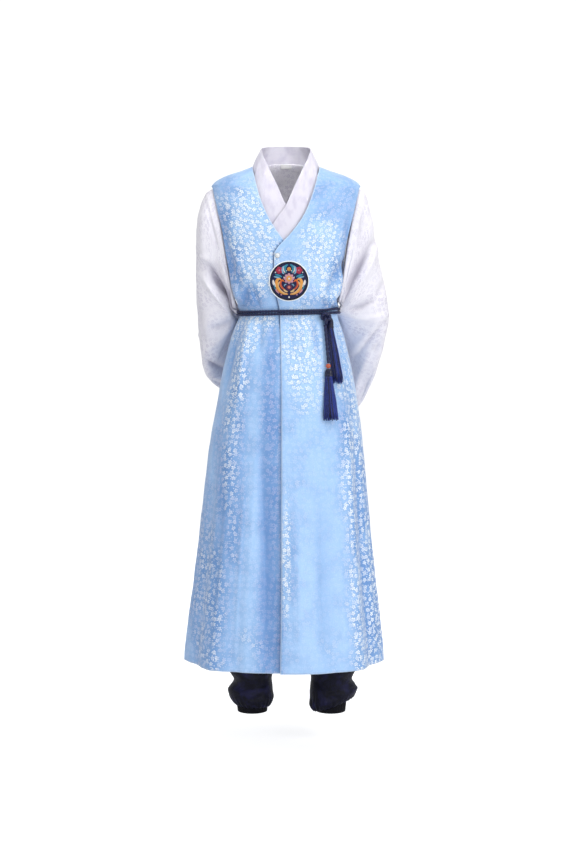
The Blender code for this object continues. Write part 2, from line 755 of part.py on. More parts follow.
def ankle_band(name, side):
    middle = smooth(LEFT_LEG, 1, ANKLE_BAND["top"]) * side + RIGHT_LEG_SHIFT * (side < 0)
    back = smooth(LEFT_LEG, 2, ANKLE_BAND["top"])
    rings = []
    for share in (0.0, 0.5, 1.0):
        height = ANKLE_BAND["bottom"] + (ANKLE_BAND["top"] - ANKLE_BAND["bottom"]) * share
        squeeze = 1.0 - 0.03 * math.cos(share * math.pi)
        ring = []
        for k in range(16):
            t = 2 * math.pi * k / 16
            x = middle + ANKLE_BAND["half_width"] * squeeze * math.sin(t)
            y = back - ANKLE_BAND["half_depth"] * squeeze * math.cos(t)
            ring.append(Vector((x, y, height)))
        rings.append(ring)
    shell(name, rings, ANKLE_BAND["wall"], "navy_cloth")


def trousers():
    leg_wall("trouser_left", 1)
    leg_wall("trouser_right", -1)
    waist_band()
    ankle_band("ankle_band_left", 1)
    ankle_band("ankle_band_right", -1)


def tube(name, points, diameter, cyclic, finish="navy_cord"):
    curve = bpy.data.curves.new(name, "CURVE")
    curve.dimensions = "3D"
    curve.bevel_depth = diameter / 2 * MM
    curve.bevel_resolution = 2
    curve.use_fill_caps = not cyclic
    line = curve.splines.new("POLY")
    line.points.add(len(points) - 1)
    for slot, point in zip(line.points, points):
        slot.co = (*(point * MM), 1.0)
    line.use_cyclic_u = cyclic
    curve.materials.append(material(finish))
    made = bpy.data.objects.new(name, curve)
    PARTS.objects.link(made)
    return made


def on_front(sideways, height, out):
    """The point at this sideways place and height that stands this far out from the coat's left front."""
    guess = sideways
    for _ in range(8):
        point = on_coat(angle_at(guess, height), height, out)
        guess += sideways - point.x
    point.z = height
    return point


def belt():
    """Two strands round the waist that part just before the knot."""
    for name, level, rise, opening in BELT_STRANDS:
        points = []
        for k in range(BELT_POINTS):
            angle = 360.0 * k / BELT_POINTS
            point = on_body(angle, BELT, CORD / 2 + 1.5)
            point.z = level + rise * math.sin(math.radians(angle)) + opening * bump(angle, 68.0, 30.0)
            points.append(point)
        tube(name, points, CORD, cyclic=True)


def ball(name, centre, size, finish, turn=0.0, segments=12, rings=8):
    """A ball or bead with its three half sizes, turned about the upright by so many degrees."""
    bm = bmesh.new()
    bmesh.ops.create_uvsphere(bm, u_segments=segments, v_segments=rings, radius=1.0)
    bmesh.ops.scale(bm, vec=[v * MM for v in size], verts=bm.verts)
    bmesh.ops.rotate(bm, matrix=Matrix.Rotation(math.radians(turn), 3, "Z"), verts=bm.verts)
    bmesh.ops.translate(bm, vec=centre * MM, verts=bm.verts)
    mesh = bpy.data.meshes.new(name)
    bm.to_mesh(mesh)
    bm.free()
    mesh.shade_smooth()
    return add_object(name, mesh, finish)


def tassel_head(bm, length):
    """A bound head, 1 across at the bottom, whose underside is cut into facets; returns the facets."""
    bmesh.ops.create_cone(bm, cap_ends=True, segments=8, radius1=1.0, radius2=0.6, depth=length)
    bmesh.ops.translate(bm, vec=(0.0, 0.0, length / 2), verts=bm.verts)
    base = min(bm.faces, key=lambda face: face.calc_center_median().z)
    for width in TASSEL_RINGS:
        bmesh.ops.inset_region(bm, faces=[base], thickness=width)
    bmesh.ops.poke(bm, faces=[base])
    under = [face for face in bm.faces if face.normal.z < -0.9]
    bmesh.ops.inset_individual(bm, faces=under, thickness=0.03)
    return under


def tassel(name, sizes):
    """A bound head and its strands, each drawn out of one facet and bent towards the tip."""
    top = on_front(sizes["x"], sizes["top"], sizes["out"])
    neck = on_front(sizes["x"], sizes["neck"], sizes["out"])
    tip = on_front(sizes["tip_x"], sizes["tip"], sizes["tip_out"])
    bm = bmesh.new()
    strands = tassel_head(bm, (top - neck).length)
    reach = (neck - tip).length
    before, wide_before = 0.0, 1.0
    for share in TASSEL_STEPS:
        wide = 1.0 + (sizes["spread"] / sizes["head"] - 1.0) * share
        wider = wide / wide_before
        strands = bmesh.ops.extrude_discrete_faces(bm, faces=strands)["faces"]
        for number, face in enumerate(strands):
            middle = face.calc_center_median()
            drop = reach * (share - before)
            drop *= 1.0 + 0.05 * math.sin(2.4 * number) * (share == 1.0)
            for vert in face.verts:
                spread = vert.co - middle
                vert.co = Vector((middle.x * wider, middle.y * wider, middle.z - drop)) + spread
        before, wide_before = share, wide
    down = (tip - neck).normalized()
    across = (Vector((1.0, 0.0, 0.0)) - down * down.x).normalized()
    deep = across.cross(down)
    rise = (top - neck).normalized()
    for vert in bm.verts:
        x, y, z = vert.co.x * sizes["head"], vert.co.y * sizes["head"] * TASSEL_FLATNESS, vert.co.z
        vert.co = (neck + (rise if z > 0 else -down) * z + across * x + deep * y) * MM
    mesh = bpy.data.meshes.new(name)
    bm.to_mesh(mesh)
    bm.free()
    return add_object(name, mesh, "navy_cord")


def belt_ends():
    knot = on_front(KNOT["x"], KNOT["z"], CORD + KNOT["half"][1] + KNOT["clear"])
    ball("belt_knot", knot, KNOT["half"], "navy_cord", turn=angle_at(KNOT["x"], KNOT["z"]))
    points = []
    for k in range(11):
        share = k / 10
        height = END_CORD["top"] + (END_CORD["bottom"] - END_CORD["top"]) * share
        points.append(on_front(END_CORD["x"] + END_CORD["drift"] * share, height, END_CORD["out"]))
    tube("belt_end_cord", points, END_CORD["across"], cyclic=False)
    ball("belt_bead", on_front(BEAD["x"], BEAD["z"], END_CORD["out"]), [BEAD["radius"]] * 3, "amber_bead")
    tassel("tassel_long", LONG_TASSEL)
    tassel("tassel_short", SHORT_TASSEL)


def roundel():
    """A round patch sewn to the left front, a little past its edge."""
    spokes = 24
    radii = (ROUNDEL["radius"] * share for share in (0.36, 0.7, 1.0))
    layers = []
    for out in (0.7 + ROUNDEL["thick"], 0.7):
        points = [on_front(ROUNDEL["x"], ROUNDEL["z"], out)]
        layers.append(points)
    for radius in radii:
        for k in range(spokes):
            t = 2 * math.pi * k / spokes
            x = ROUNDEL["x"] + radius * math.sin(t)
            z = ROUNDEL["z"] + radius * math.cos(t)
            layers[0].append(on_front(x, z, 0.7 + ROUNDEL["thick"]))
            layers[1].append(on_front(x, z, 0.7))
    half = len(layers[0])
    faces = []
    for base, flip in ((0, False), (half, True)):
        for k in range(spokes):
            n = (k + 1) % spokes
            new = [(base, base + 1 + n, base + 1 + k)]
            for ring in (0, 1):
                a = base + 1 + ring * spokes
                b = a + spokes
                new.append((a + k, a + n, b + n, b + k))
            faces += [face[::-1] if flip else face for face in new]
    last = 1 + 2 * spokes
    for k in range(spokes):
        n = (k + 1) % spokes
        faces.append((last + n, half + last + n, half + last + k, last + k))
    mesh = bpy.data.meshes.new("chest_roundel")
    mesh.from_pydata([p * MM for p in layers[0] + layers[1]], [], faces)
    add_object("chest_roundel", mesh, "navy_satin")


def trim():
    roundel()
    place = on_front(BUTTON["x"], BUTTON["z"], BUTTON["thick"] / 2 + 0.3)
    ball("coat_snap", place, (BUTTON["radius"], BUTTON["thick"] / 2, BUTTON["radius"]), "pearl")
    neck_label()


clear_scene()
PARTS = bpy.data.collections.new("hanbok")
bpy.context.scene.collection.children.link(PARTS)
coat()
jacket()
collar()
sleeve("sleeve_right", RIGHT_SLEEVE, -1)
sleeve("sleeve_left", LEFT_SLEEVE, 1)
trousers()
belt()
belt_ends()
trim()
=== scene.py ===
"""The look of a man's hanbok as worn: long coat, cord belt with tassels, white jacket and navy trousers.

Sizes in the tables are millimetres; the frame is in metres. The front faces -Y and the wearer's left is +X.
Angles run round the body: 0 at the centre front, 90 at the wearer's left side, 180 at the centre back.
"""

import functools
import math

import bmesh
import bpy
import numpy as np
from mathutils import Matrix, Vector


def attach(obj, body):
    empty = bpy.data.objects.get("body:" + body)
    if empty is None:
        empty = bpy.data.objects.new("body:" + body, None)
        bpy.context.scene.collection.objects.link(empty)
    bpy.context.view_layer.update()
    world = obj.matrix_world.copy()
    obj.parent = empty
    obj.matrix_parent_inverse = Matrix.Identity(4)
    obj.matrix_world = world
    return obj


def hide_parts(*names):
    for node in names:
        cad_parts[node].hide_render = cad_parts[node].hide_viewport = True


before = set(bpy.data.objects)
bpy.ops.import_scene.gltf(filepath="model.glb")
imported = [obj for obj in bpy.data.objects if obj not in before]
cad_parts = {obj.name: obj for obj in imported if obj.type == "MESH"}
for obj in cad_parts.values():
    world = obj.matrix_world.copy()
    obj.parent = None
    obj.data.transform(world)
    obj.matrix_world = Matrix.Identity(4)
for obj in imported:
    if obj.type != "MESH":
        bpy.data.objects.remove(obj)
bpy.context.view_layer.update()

MM = 0.001

# Cloth and clearances
COAT_WALL = 2.0
JACKET_WALL = 1.5
TROUSER_WALL = 1.6
COLLAR_WALL = 1.8
LAYER_GAP = 3.4
SEAM_HALF_GAP = 0.2
LAP_GAP = 1.4

# The coat's outer form, from the neck to the hem
HEM = -1235.0
HEM_DIP = 6.5
BELT = -371.0
SHOULDER_TOP = -9.0
BODY_POWER = 2.35
COAT_FORM = (
    # height, half width, front depth, back depth
    (10, 79, 44, 55),
    (-2, 83, 45, 57),
    (-9, 87, 48, 59),
    (-12.5, 95, 52, 62),
    (-20, 116, 57, 67),
    (-27.5, 139, 62, 71),
    (-35, 157, 67, 75),
    (-42.5, 171, 71, 79),
    (-50, 180, 74, 83),
    (-57.5, 185, 77, 86),
    (-75, 187, 83, 92),
    (-100, 185, 91, 99),
    (-137, 180, 101, 106),
    (-187, 172, 111, 109),
    (-237, 163, 115, 107),
    (-287, 152, 113, 102),
    (-325, 140, 108, 97),
    (-350, 127.5, 102, 92),
    (-362, 123.5, 98.6, 89.6),
    (-371, 122, 98, 89),
    (-380, 123.5, 98.7, 89.7),
    (-412, 136, 107, 98),
    (-462, 150, 119, 109),
    (-512, 161, 130, 120),
    (-587, 174.5, 142, 133),
    (-662, 187, 151, 146),
    (-787, 201, 165, 161),
    (-887, 211, 174, 171),
    (-987, 221, 183, 180),
    (-1087, 233, 191, 188),
    (-1187, 245, 198, 195),
    (-1240, 249, 201, 198),
)
# How far the whole skirt stands to one side of the body's middle
SKIRT_LEAN = (
    # height, sideways shift
    (-220, 0),
    (-312, 2.5),
    (-371, 6.5),
    (-437, 4.5),
    (-587, 3.5),
    (-700, 1),
    (-900, -1.5),
    (-1240, -4.5),
)
# Long soft folds of the skirt; a depth below zero is a valley
SKIRT_FOLDS = (
    # angle, half width in degrees, depth at the hem, height where it starts
    (-62, 12, -9, -400),
    (-43, 9, 6, -420),
    (-27, 8, -8, -470),
    (27, 10, -6, -520),
    (45, 9, 5, -430),
    (60, 11, -9, -400),
    (78, 8, 5, -430),
    (-80, 8, 5, -430),
    (112, 11, -10, -410),
    (133, 10, 7, -430),
    (152, 10, -10, -400),
    (180, 13, 7, -400),
    (207, 10, -10, -400),
    (228, 10, 7, -430),
    (249, 11, -10, -410),
)
# Cloth that the belt draws in bulges out just above it
BLOUSE_FOLDS = (
    # angle, half width in degrees, height out, middle height, half height
    (-58, 10, 4, -318, 46),
    (-36, 9, 3, -325, 40),
    (38, 9, 3.5, -322, 42),
    (60, 9, 4.5, -312, 50),
    (125, 12, 4, -320, 44),
    (155, 12, 4, -325, 40),
    (205, 12, 4, -325, 40),
    (235, 12, 4, -320, 44),
)
BACK_NECK_RISE = 12.0

# Cut edges of the coat
COAT_ARMHOLE = {"middle": -205.0, "half": 148.0, "dip": 0.10}
LEFT_FRONT_EDGE = (
    # height, sideways place of the edge
    (-9, 83.5),
    (-38, 76.5),
    (-87, 62),
    (-129, 44.5),
    (-175, 12),
    (-192, -4),
    (-212, -22),
    (-226, -29),
    (-250, -29),
    (-312, -26),
    (-371, -15),
    (-587, -11),
    (-987, -11),
    (-1240, -14),
)
RIGHT_FRONT_EDGE = (
    # height, sideways place of the edge, which the left front hides below the V
    (-9, -83.5),
    (-38, -76.8),
    (-79, -66.3),
    (-129, -46),
    (-167, -23.7),
    (-190, -6.8),
    (-212, 12),
    (-240, 36),
    (-320, 42),
    (-1240, 60),
)
# The under front sinks behind the edge of the over front, more towards the hem
UNDER_FRONT_SINK = (
    # height, depth
    (0, COAT_WALL + LAP_GAP),
    (-400, COAT_WALL + LAP_GAP),
    (-700, 9),
    (-1240, 16),
)
UNDER_FRONT_FULL = -16.0
UNDER_FRONT_NONE = -48.0

# Jacket
JACKET_HEM = -560.0
JACKET_ARMHOLE = {"middle": -203.5, "half": 143.5, "dip": 0.085}
JACKET_EASE = (
    # height, how much further inside the coat it lies
    (0, 0),
    (-400, 0),
    (-560, 13),
)
JACKET_LAP_EDGE = 55.0
# How far the jacket's right front lies inside its left one
JACKET_LAP = COLLAR_WALL + LAP_GAP + 0.6
COLLAR_UNDER_COAT = 5.0

# Collar band: the seam edge follows the neckline, the free edge is placed here for the wearer's left
COLLAR_FREE_EDGE = (
    # place along the band, sideways, depth, height
    (0, 0, 53, 46),
    (1, 34, 46, 45),
    (2, 55, 25, 41.5),
    (3, 61, -1, 36),
    (4, 56, -30, 16),
    (5, 45, -53, -8),
    (6, 24, -72, -52),
    (7, 0, -85, -105),
    (8, -24, -93.5, -140),
    (9, -44, -98.6, -172),
)
COLLAR_SEAM_EDGE = (
    # place along the band, angle round the neck, height of the form it lies on
    (0, 180, 3.5),
    (1, 145, 2),
    (2, 112, -4),
    (3, 90, -8.4),
)
COLLAR_FRONT_HEIGHTS = (
    # place along the band, height
    (3, -9),
    (4, -46),
    (5, -84),
    (6, -120),
    (7, -158),
    (8, -195),
    (9, -226),
)

# Sleeves: each row is a ring from its outer or lower point to its inner or upper point
RIGHT_SLEEVE = (
    # outer x, y, z, inner x, y, z, half thickness, how much thinner the outer edge is
    (198, 0, -72, 124, 0, -350, 51, 0.00),
    (209, 2, -92, 121, 4, -360, 54, 0.00),
    (218, 7, -125, 119, 10, -368, 56, 0.00),
    (224, 10, -180, 116, 14, -372, 55, 0.00),
    (225, 12, -240, 114, 14, -374, 49, 0.05),
    (225, 16, -310, 114, 22, -374, 45, 0.10),
    (222, 28, -385, 116, 38, -374, 45, 0.20),
    (214, 52, -455, 123, 66, -378, 45, 0.30),
    (206, 80, -512, 125, 88, -376, 43, 0.40),
    (182, 122, -556, 140, 116, -367, 41, 0.50),
    (148, 160, -576, 122, 138, -367, 39, 0.55),
    (108, 182, -578, 92, 152, -369, 37, 0.60),
    (68, 190, -558, 60, 160, -376, 35, 0.60),
    (30, 190, -530, 27, 164, -388, 33, 0.60),
)
LEFT_SLEEVE = (
    # outer x, y, z, inner x, y, z, half thickness, how much thinner the outer edge is
    (196, 0, -72, 135, 0, -350, 51, 0.00),
    (204, 2, -95, 132, 4, -360, 54, 0.00),
    (212, 6, -137, 131, 10, -368, 56, 0.00),
    (224, 8, -195, 127, 14, -372, 55, 0.00),
    (238, 10, -262, 125, 16, -372, 50, 0.05),
    (252, 14, -330, 125, 26, -372, 47, 0.10),
    (259, 26, -382, 127, 42, -374, 46, 0.20),
    (249, 48, -438, 135, 66, -378, 45, 0.30),
    (234, 80, -500, 137, 88, -376, 43, 0.40),
    (214, 122, -560, 140, 116, -367, 41, 0.50),
    (182, 162, -618, 122, 140, -367, 40, 0.55),
    (132, 192, -634, 92, 156, -369, 38, 0.60),
    (82, 202, -598, 60, 164, -376, 36, 0.60),
    (34, 200, -548, 27, 168, -390, 34, 0.60),
)
SLEEVE_POWER = 2.45

# Trousers: rings of one leg, joined to the other leg above the fork
TROUSER_TOP = -413.0
LEG_BOTTOM = -1361.0
LEG_GATHERS = 26
LEFT_LEG = (
    # height, centre sideways, centre depth, half width, half depth
    (TROUSER_TOP, 0, -4, 110, 80),
    (-470, 2, -3, 126, 93),
    (-540, 14, -1, 122, 101),
    (-600, 40, 0, 104, 101),
    (-650, 66, 1, 88, 98),
    (-695, 82, 2, 82.5, 96),
    (-730, 87, 2, 83, 94),
    (-850, 92, 2, 84, 88),
    (-1000, 99, 2, 76, 80),
    (-1130, 106, 2, 66, 70),
    (-1225, 113, 2, 62, 64),
    (-1262, 115, 2, 58, 60),
    (-1292, 115, 2, 53, 57),
    (-1318, 116, 2, 56.5, 59),
    (-1336, 114, 3, 56, 59),
    (-1351, 112, 3, 50, 54),
    (-1361, 111, 3, 43, 47),
)
RIGHT_LEG_SHIFT = 28.0
# How far the creased cloth stands out at each leg's outer side
LEG_EDGE = (
    # height, left leg, right leg
    (-1200, 0, 0),
    (-1258, 15, 12),
    (-1276, 4, 2),
    (-1294, 1, -6),
    (-1324, 6, 5),
    (-1345, 17, 3),
    (-1361, 19, 0),
)
WAISTBAND = {"top": -378.0, "bottom": -412.6, "inside_coat": 14.3, "wall": 2.0}
ANKLE_BAND = {"top": -1342.6, "bottom": -1375.0, "half_width": 39.5, "half_depth": 43.0, "wall": 2.4}

# Cord belt and tassels
CORD = 6.4
BELT_STRANDS = (
    # name, height at the front, rise towards the wearer's left, gap that opens before the knot
    ("belt_cord_upper", -364.2, 3.0, 3.0),
    ("belt_cord_lower", -371.2, 3.0, 0.0),
)
KNOT = {"x": 98.0, "z": -381.0, "half": (14.0, 7.0, 17.5), "clear": 0.4}
END_CORD = {"x": 96.0, "drift": 7.5, "top": -398.5, "bottom": -490.7, "across": 8.2, "out": 11.0}
BEAD = {"z": -497.5, "x": 103.0, "radius": 6.3}
LONG_TASSEL = {
    "x": 104.0, "top": -504.2, "neck": -524.0, "out": 10.0,
    "tip_x": 110.0, "tip": -630.0, "tip_out": 13.5, "head": 9.5, "spread": 19.0,
}
TASSEL_FLATNESS = 0.55
# In radians; it spreads the yarns evenly over a round
GOLDEN_ANGLE = 2.399963
SHORT_TASSEL = {
    "x": 108.0, "top": -380.6, "neck": -408.0, "out": 5.5,
    "tip_x": 127.5, "tip": -542.0, "tip_out": 8.5, "head": 9.0, "spread": 14.5,
}

# Trim
ROUNDEL = {"x": 7.5, "z": -291.5, "radius": 47.0, "thick": 1.6}
BUTTON = {"x": -20.5, "z": -229.5, "radius": 5.6, "thick": 4.2}
LABEL = {"half_turn": 7.0, "bottom": -7.5, "top": 2.5, "thick": 0.6}

# Fine cloth: how far apart its rows lie, and the distance from an edge that counts as the open cloth
CLOTH_STEP = 5.0
FAR_FROM_EDGE = 60.0
SLEEVE_FINE_RINGS = 190
SLEEVE_FINE_SIDES = 104

# Turned forms and cords: how many points go round them, and how far apart a cord's rings lie
LATHE_SIDES = 48
ROPE_SIDES = 16
ROPE_STEP = 1.4

# Folds seen from the front, over those of the solids: a depth below zero is a valley. Skew above zero makes
# the side towards the wearer's left the steep one.
COAT_FRONT_FOLDS = (
    # path of (sideways, height), half width, depth, skew
    (((-160, -142), (-136, -242), (-116, -337)), 10, -5, 0.3),
    (((-112, -225), (-124, -287), (-119, -345)), 8, 4, -0.3),
    (((-97, -290), (-108, -360)), 9, -5, 0.4),
    (((-90, -292), (-62, -360)), 10, -4.5, -0.4),
    (((-112, -322), (-95, -290)), 5, 3, 0),
    (((-152, -180), (-118, -240), (-88, -300)), 14, 3.5, 0.3),
    (((150, -238), (118, -276), (98, -330)), 11, -5.5, 0.5),
    (((148, -265), (128, -312), (108, -357)), 9, 4.5, -0.3),
    (((142, -322), (112, -362)), 7, -4.5, 0.3),
    (((158, -125), (151, -212), (132, -337)), 10, -5, -0.3),
    (((85, -330), (103, -362)), 7, -3.5, 0),
    (((60, -150), (100, -230), (118, -270)), 16, 3, 0.2),
    (((-12, -222), (40, -205), (95, -160)), 12, 2, 0),
    (((-20, -300), (-24, -360)), 8, -2.5, 0),
    (((38, -345), (45, -362)), 7, -2, 0),
    (((-100, -380), (-130, -450), (-152, -560)), 9, -6, 0.3),
    (((-85, -380), (-101, -462), (-118, -600)), 10, 5, -0.3),
    (((-60, -380), (-66, -470)), 8, -4, 0.2),
    (((-30, -380), (-33, -455)), 7, -3, 0),
    (((12, -380), (14, -460)), 7, -3, 0),
    (((42, -380), (48, -490)), 9, 3.5, 0),
    (((68, -380), (80, -480)), 7, -4, -0.2),
    (((120, -380), (138, -450), (152, -560)), 9, -6, -0.3),
    (((108, -380), (124, -462), (136, -600)), 9, 5, 0.3),
    (((-98, -740), (-113, -987), (-128, -1262)), 18, 6, 0.4),
    (((-62, -650), (-52, -987), (-52, -1262)), 17, -7, 0.3),
    (((-150, -760), (-172, -1000), (-195, -1240)), 15, -5, 0.2),
    (((165, -640), (190, -987), (208, -1235)), 12, -5, -0.3),
    (((146, -600), (166, -930), (180, -1245)), 14, 5, 0.3),
    (((82, -780), (92, -1250)), 20, -3.5, 0.2),
    (((30, -860), (34, -1250)), 18, 3, 0),
)
# Folds of the back, which the photograph doesn't show; each one off the middle has its mirror image too
COAT_BACK_FOLDS = (
    # path of (sideways, height), half width, depth, skew
    (((-150, -130), (-128, -240), (-100, -350)), 13, -6, 0.3),
    (((-128, -170), (-100, -260), (-70, -355)), 13, 5, 0.2),
    (((-70, -220), (-52, -358)), 12, -5, 0.3),
    (((-28, -250), (-24, -358)), 11, 3.5, 0),
    (((0, -270), (0, -358)), 9, -3.5, 0),
    (((-95, -382), (-122, -500), (-140, -640)), 11, -6, 0.2),
    (((-66, -382), (-82, -500), (-92, -660)), 12, 5.5, 0.2),
    (((-38, -382), (-46, -520)), 10, -5, 0),
    (((0, -382), (0, -560)), 12, 4, 0),
    (((-60, -700), (-72, -1000), (-82, -1262)), 20, -8, 0.2),
    (((-150, -700), (-176, -1000), (-200, -1245)), 18, 6, 0.2),
)
RIGHT_SLEEVE_FOLDS = (
    # path of (sideways, height), half width, depth, skew
    (((-198, -248), (-176, -292), (-150, -328), (-134, -356), (-120, -388)), 12, -15, 0.5),
    (((-182, -284), (-160, -318), (-142, -344), (-122, -384)), 6, -9, 0.2),
    (((-208, -276), (-184, -312), (-158, -344), (-138, -378)), 7, 7, -0.3),
    (((-214, -226), (-196, -240), (-176, -238)), 9, 5, 0.2),
    (((-186, -80), (-176, -170), (-168, -240)), 13, -4, 0.2),
    (((-205, -110), (-207, -230)), 11, 3.5, 0),
    (((-160, -240), (-146, -300), (-132, -345)), 9, 4, 0.3),
    (((-122, -385), (-160, -405), (-200, -410)), 9, -5, 0),
    (((-128, -395), (-170, -440), (-206, -470)), 11, 5, 0),
    (((-130, -410), (-158, -470), (-176, -505)), 9, -5, 0.2),
    (((-212, -488), (-185, -505), (-150, -516)), 7, -8, 0),
    (((-205, -520), (-180, -532), (-150, -540)), 9, 5, 0),
    (((-190, -545), (-165, -556)), 8, -4, 0),
    (((-222, -330), (-214, -400), (-205, -460)), 12, -3.5, 0),
)
LEFT_SLEEVE_FOLDS = (
    # path of (sideways, height), half width, depth, skew
    (((222, -185), (192, -245), (165, -295), (140, -350)), 10, -11, -0.5),
    (((232, -190), (205, -255), (180, -300), (150, -356)), 10, 6, 0.3),
    (((145, -366), (185, -357), (225, -335)), 8, -7, 0.3),
    (((150, -378), (200, -384), (250, -372)), 10, 5, 0),
    (((262, -380), (238, -402), (205, -440), (168, -492)), 5.5, -5, 0.5),
    (((262, -366), (228, -392), (192, -432), (160, -472)), 8, 3.5, 0),
    (((228, -508), (206, -560), (188, -622)), 10, -4, -0.4),
    (((210, -470), (192, -520), (172, -590)), 12, 6, -0.2),
    (((180, -70), (186, -140), (176, -220)), 12, -4, 0.2),
    (((205, -100), (214, -180)), 11, 4, 0),
    (((165, -150), (158, -240), (142, -320)), 9, 4, -0.2),
    (((245, -290), (226, -330)), 8, -4, 0),
    (((240, -440), (222, -470)), 7, -4, 0),
)
SLEEVE_BACK_FOLDS = (
    # path of (sideways, height) with the wearer's left as plus, half width, depth, skew
    (((200, -120), (180, -220), (150, -330)), 13, -7, 0.2),
    (((225, -200), (205, -290), (175, -350)), 12, 5, 0),
    (((150, -370), (200, -385), (250, -380)), 9, -8, 0.2),
    (((145, -392), (190, -420), (235, -430)), 11, 6, 0),
    (((120, -385), (150, -440), (190, -500)), 9, -8, 0.2),
    (((98, -392), (118, -460), (150, -540)), 11, 6, 0),
    (((72, -395), (84, -470), (104, -560)), 9, -7, 0.2),
    (((48, -400), (54, -470), (64, -560)), 9, 5, 0),
    (((200, -470), (180, -540), (150, -600)), 10, -6, 0),
)
TROUSER_FOLDS = (
    # path of (sideways, height) measured from the middle of the leg, half width, depth, skew
    (((-44, -1292), (-10, -1316), (40, -1308)), 8, -5, 0),
    (((-50, -1270), (0, -1286), (46, -1274)), 9, 4, 0),
    (((-40, -1322), (-5, -1336), (34, -1330)), 6, -4, 0),
    (((-20, -1200), (-26, -1262), (-34, -1300)), 10, -4, 0.2),
    (((22, -1190), (18, -1250), (30, -1296)), 10, 4, -0.2),
    (((0, -1225), (4, -1270)), 8, -3, 0),
)

# Painted sheen: where the satin would turn away from the light, its woven flowers are painted white and its
# ground paler
COAT_SHINE_FRONT = (
    # sideways, height, half width, half height, strength
    (-85, -162, 60, 98, 1.00),
    (-62, -255, 52, 70, 0.85),
    (-150, -95, 34, 24, 0.60),
    (-122, -300, 20, 40, 0.45),
    (88, -215, 62, 78, 0.72),
    (140, -105, 30, 40, 0.20),
    (118, -292, 44, 62, 1.00),
    (38, -460, 44, 110, 1.00),
    (-98, -418, 42, 52, 1.00),
    (-60, -388, 44, 20, 0.80),
    (-118, -520, 26, 120, 0.62),
    (62, -560, 34, 70, 0.50),
    (150, -470, 30, 120, 1.00),
    (172, -740, 34, 250, 0.78),
    (206, -1070, 46, 230, 0.95),
    (-135, -700, 24, 260, 0.45),
    (-185, -1080, 46, 240, 0.48),
    (1, -960, 11, 150, 0.95),
    (-85, -1180, 40, 90, 0.20),
    (90, -1190, 50, 80, 0.20),
)
# Painted shade: where the satin's plain ground is painted darker, between the bands that shine
COAT_SHADE_FRONT = (
    # sideways, height, half width, half height, strength
    (-150, -190, 24, 150, 0.85),
    (-128, -262, 26, 70, 1.00),
    (-88, -335, 40, 40, 0.80),
    (-150, -70, 60, 22, 0.45),
    (115, -95, 60, 60, 0.55),
    (125, -262, 22, 34, 0.95),
    (112, -350, 26, 20, 1.00),
    (60, -345, 40, 14, 0.35),
    (150, -215, 12, 90, 0.70),
    (-118, -560, 30, 180, 0.75),
    (-140, -800, 42, 240, 0.85),
    (-190, -1060, 62, 260, 0.90),
    (-37, -620, 25, 200, 0.95),
    (-37, -860, 26, 220, 1.00),
    (-38, -1120, 34, 220, 1.00),
    (12, -960, 16, 130, 0.50),
    (150, -640, 24, 120, 0.85),
    (182, -840, 34, 200, 1.00),
    (214, -1080, 48, 220, 1.10),
)
# Painted sheen on the back; the same patches paint shade there too, more weakly
COAT_SHINE_BACK = (
    # sideways, height, half width, half height, strength
    (-90, -180, 70, 130, 0.90),
    (100, -230, 60, 130, 0.80),
    (0, -430, 110, 80, 0.90),
    (-160, -760, 60, 280, 0.80),
    (160, -860, 70, 330, 0.90),
    (-20, -1080, 60, 160, 0.50),
)


def smooth(table, column, at):
    """A table's column at any heights or places, through its rows without overshoot."""
    rows = sorted(table)
    xs = np.array([row[0] for row in rows], float)
    ys = np.array([row[column] for row in rows], float)
    at = np.clip(np.asarray(at, float), xs[0], xs[-1])
    steps = np.diff(xs)
    slopes = np.diff(ys) / steps
    tangents = np.zeros(len(xs))
    tangents[0], tangents[-1] = slopes[0], slopes[-1]
    for k in range(1, len(xs) - 1):
        if slopes[k - 1] * slopes[k] > 0:
            w1 = 2 * steps[k] + steps[k - 1]
            w2 = steps[k] + 2 * steps[k - 1]
            tangents[k] = (w1 + w2) / (w1 / slopes[k - 1] + w2 / slopes[k])
    k = np.clip(np.searchsorted(xs, at, side="right") - 1, 0, len(steps) - 1)
    h = steps[k]
    t = (at - xs[k]) / h
    value = ys[k] * (1 + 2 * t) * (1 - t) ** 2 + tangents[k] * h * t * (1 - t) ** 2
    return value + ys[k + 1] * t * t * (3 - 2 * t) + tangents[k + 1] * h * t * t * (t - 1)


def ease(value, none, full):
    """0 at none and 1 at full, with soft ends."""
    t = np.clip((np.asarray(value, float) - none) / (full - none), 0.0, 1.0)
    return t * t * (3 - 2 * t)


def bump(value, middle, half):
    """1 at the middle, 0 from half away."""
    t = np.clip(np.abs(value - middle) / half, 0.0, 1.0)
    return np.cos(t * math.pi / 2) ** 2


def turn_between(angle, middle):
    """The angle measured from middle, between -180 and 180."""
    return (angle - middle + 180.0) % 360.0 - 180.0


def signed_power(value, power):
    """The power of a value's size, with the value's own sign."""
    return np.sign(value) * np.abs(value) ** power


def unit(vectors):
    """The vectors at a length of 1."""
    return vectors / np.maximum(np.linalg.norm(vectors, axis=-1, keepdims=True), 1e-9)


def coat_size(height):
    """The coat's half width, front depth and back depth at each height."""
    return tuple(smooth(COAT_FORM, column, height) for column in (1, 2, 3))


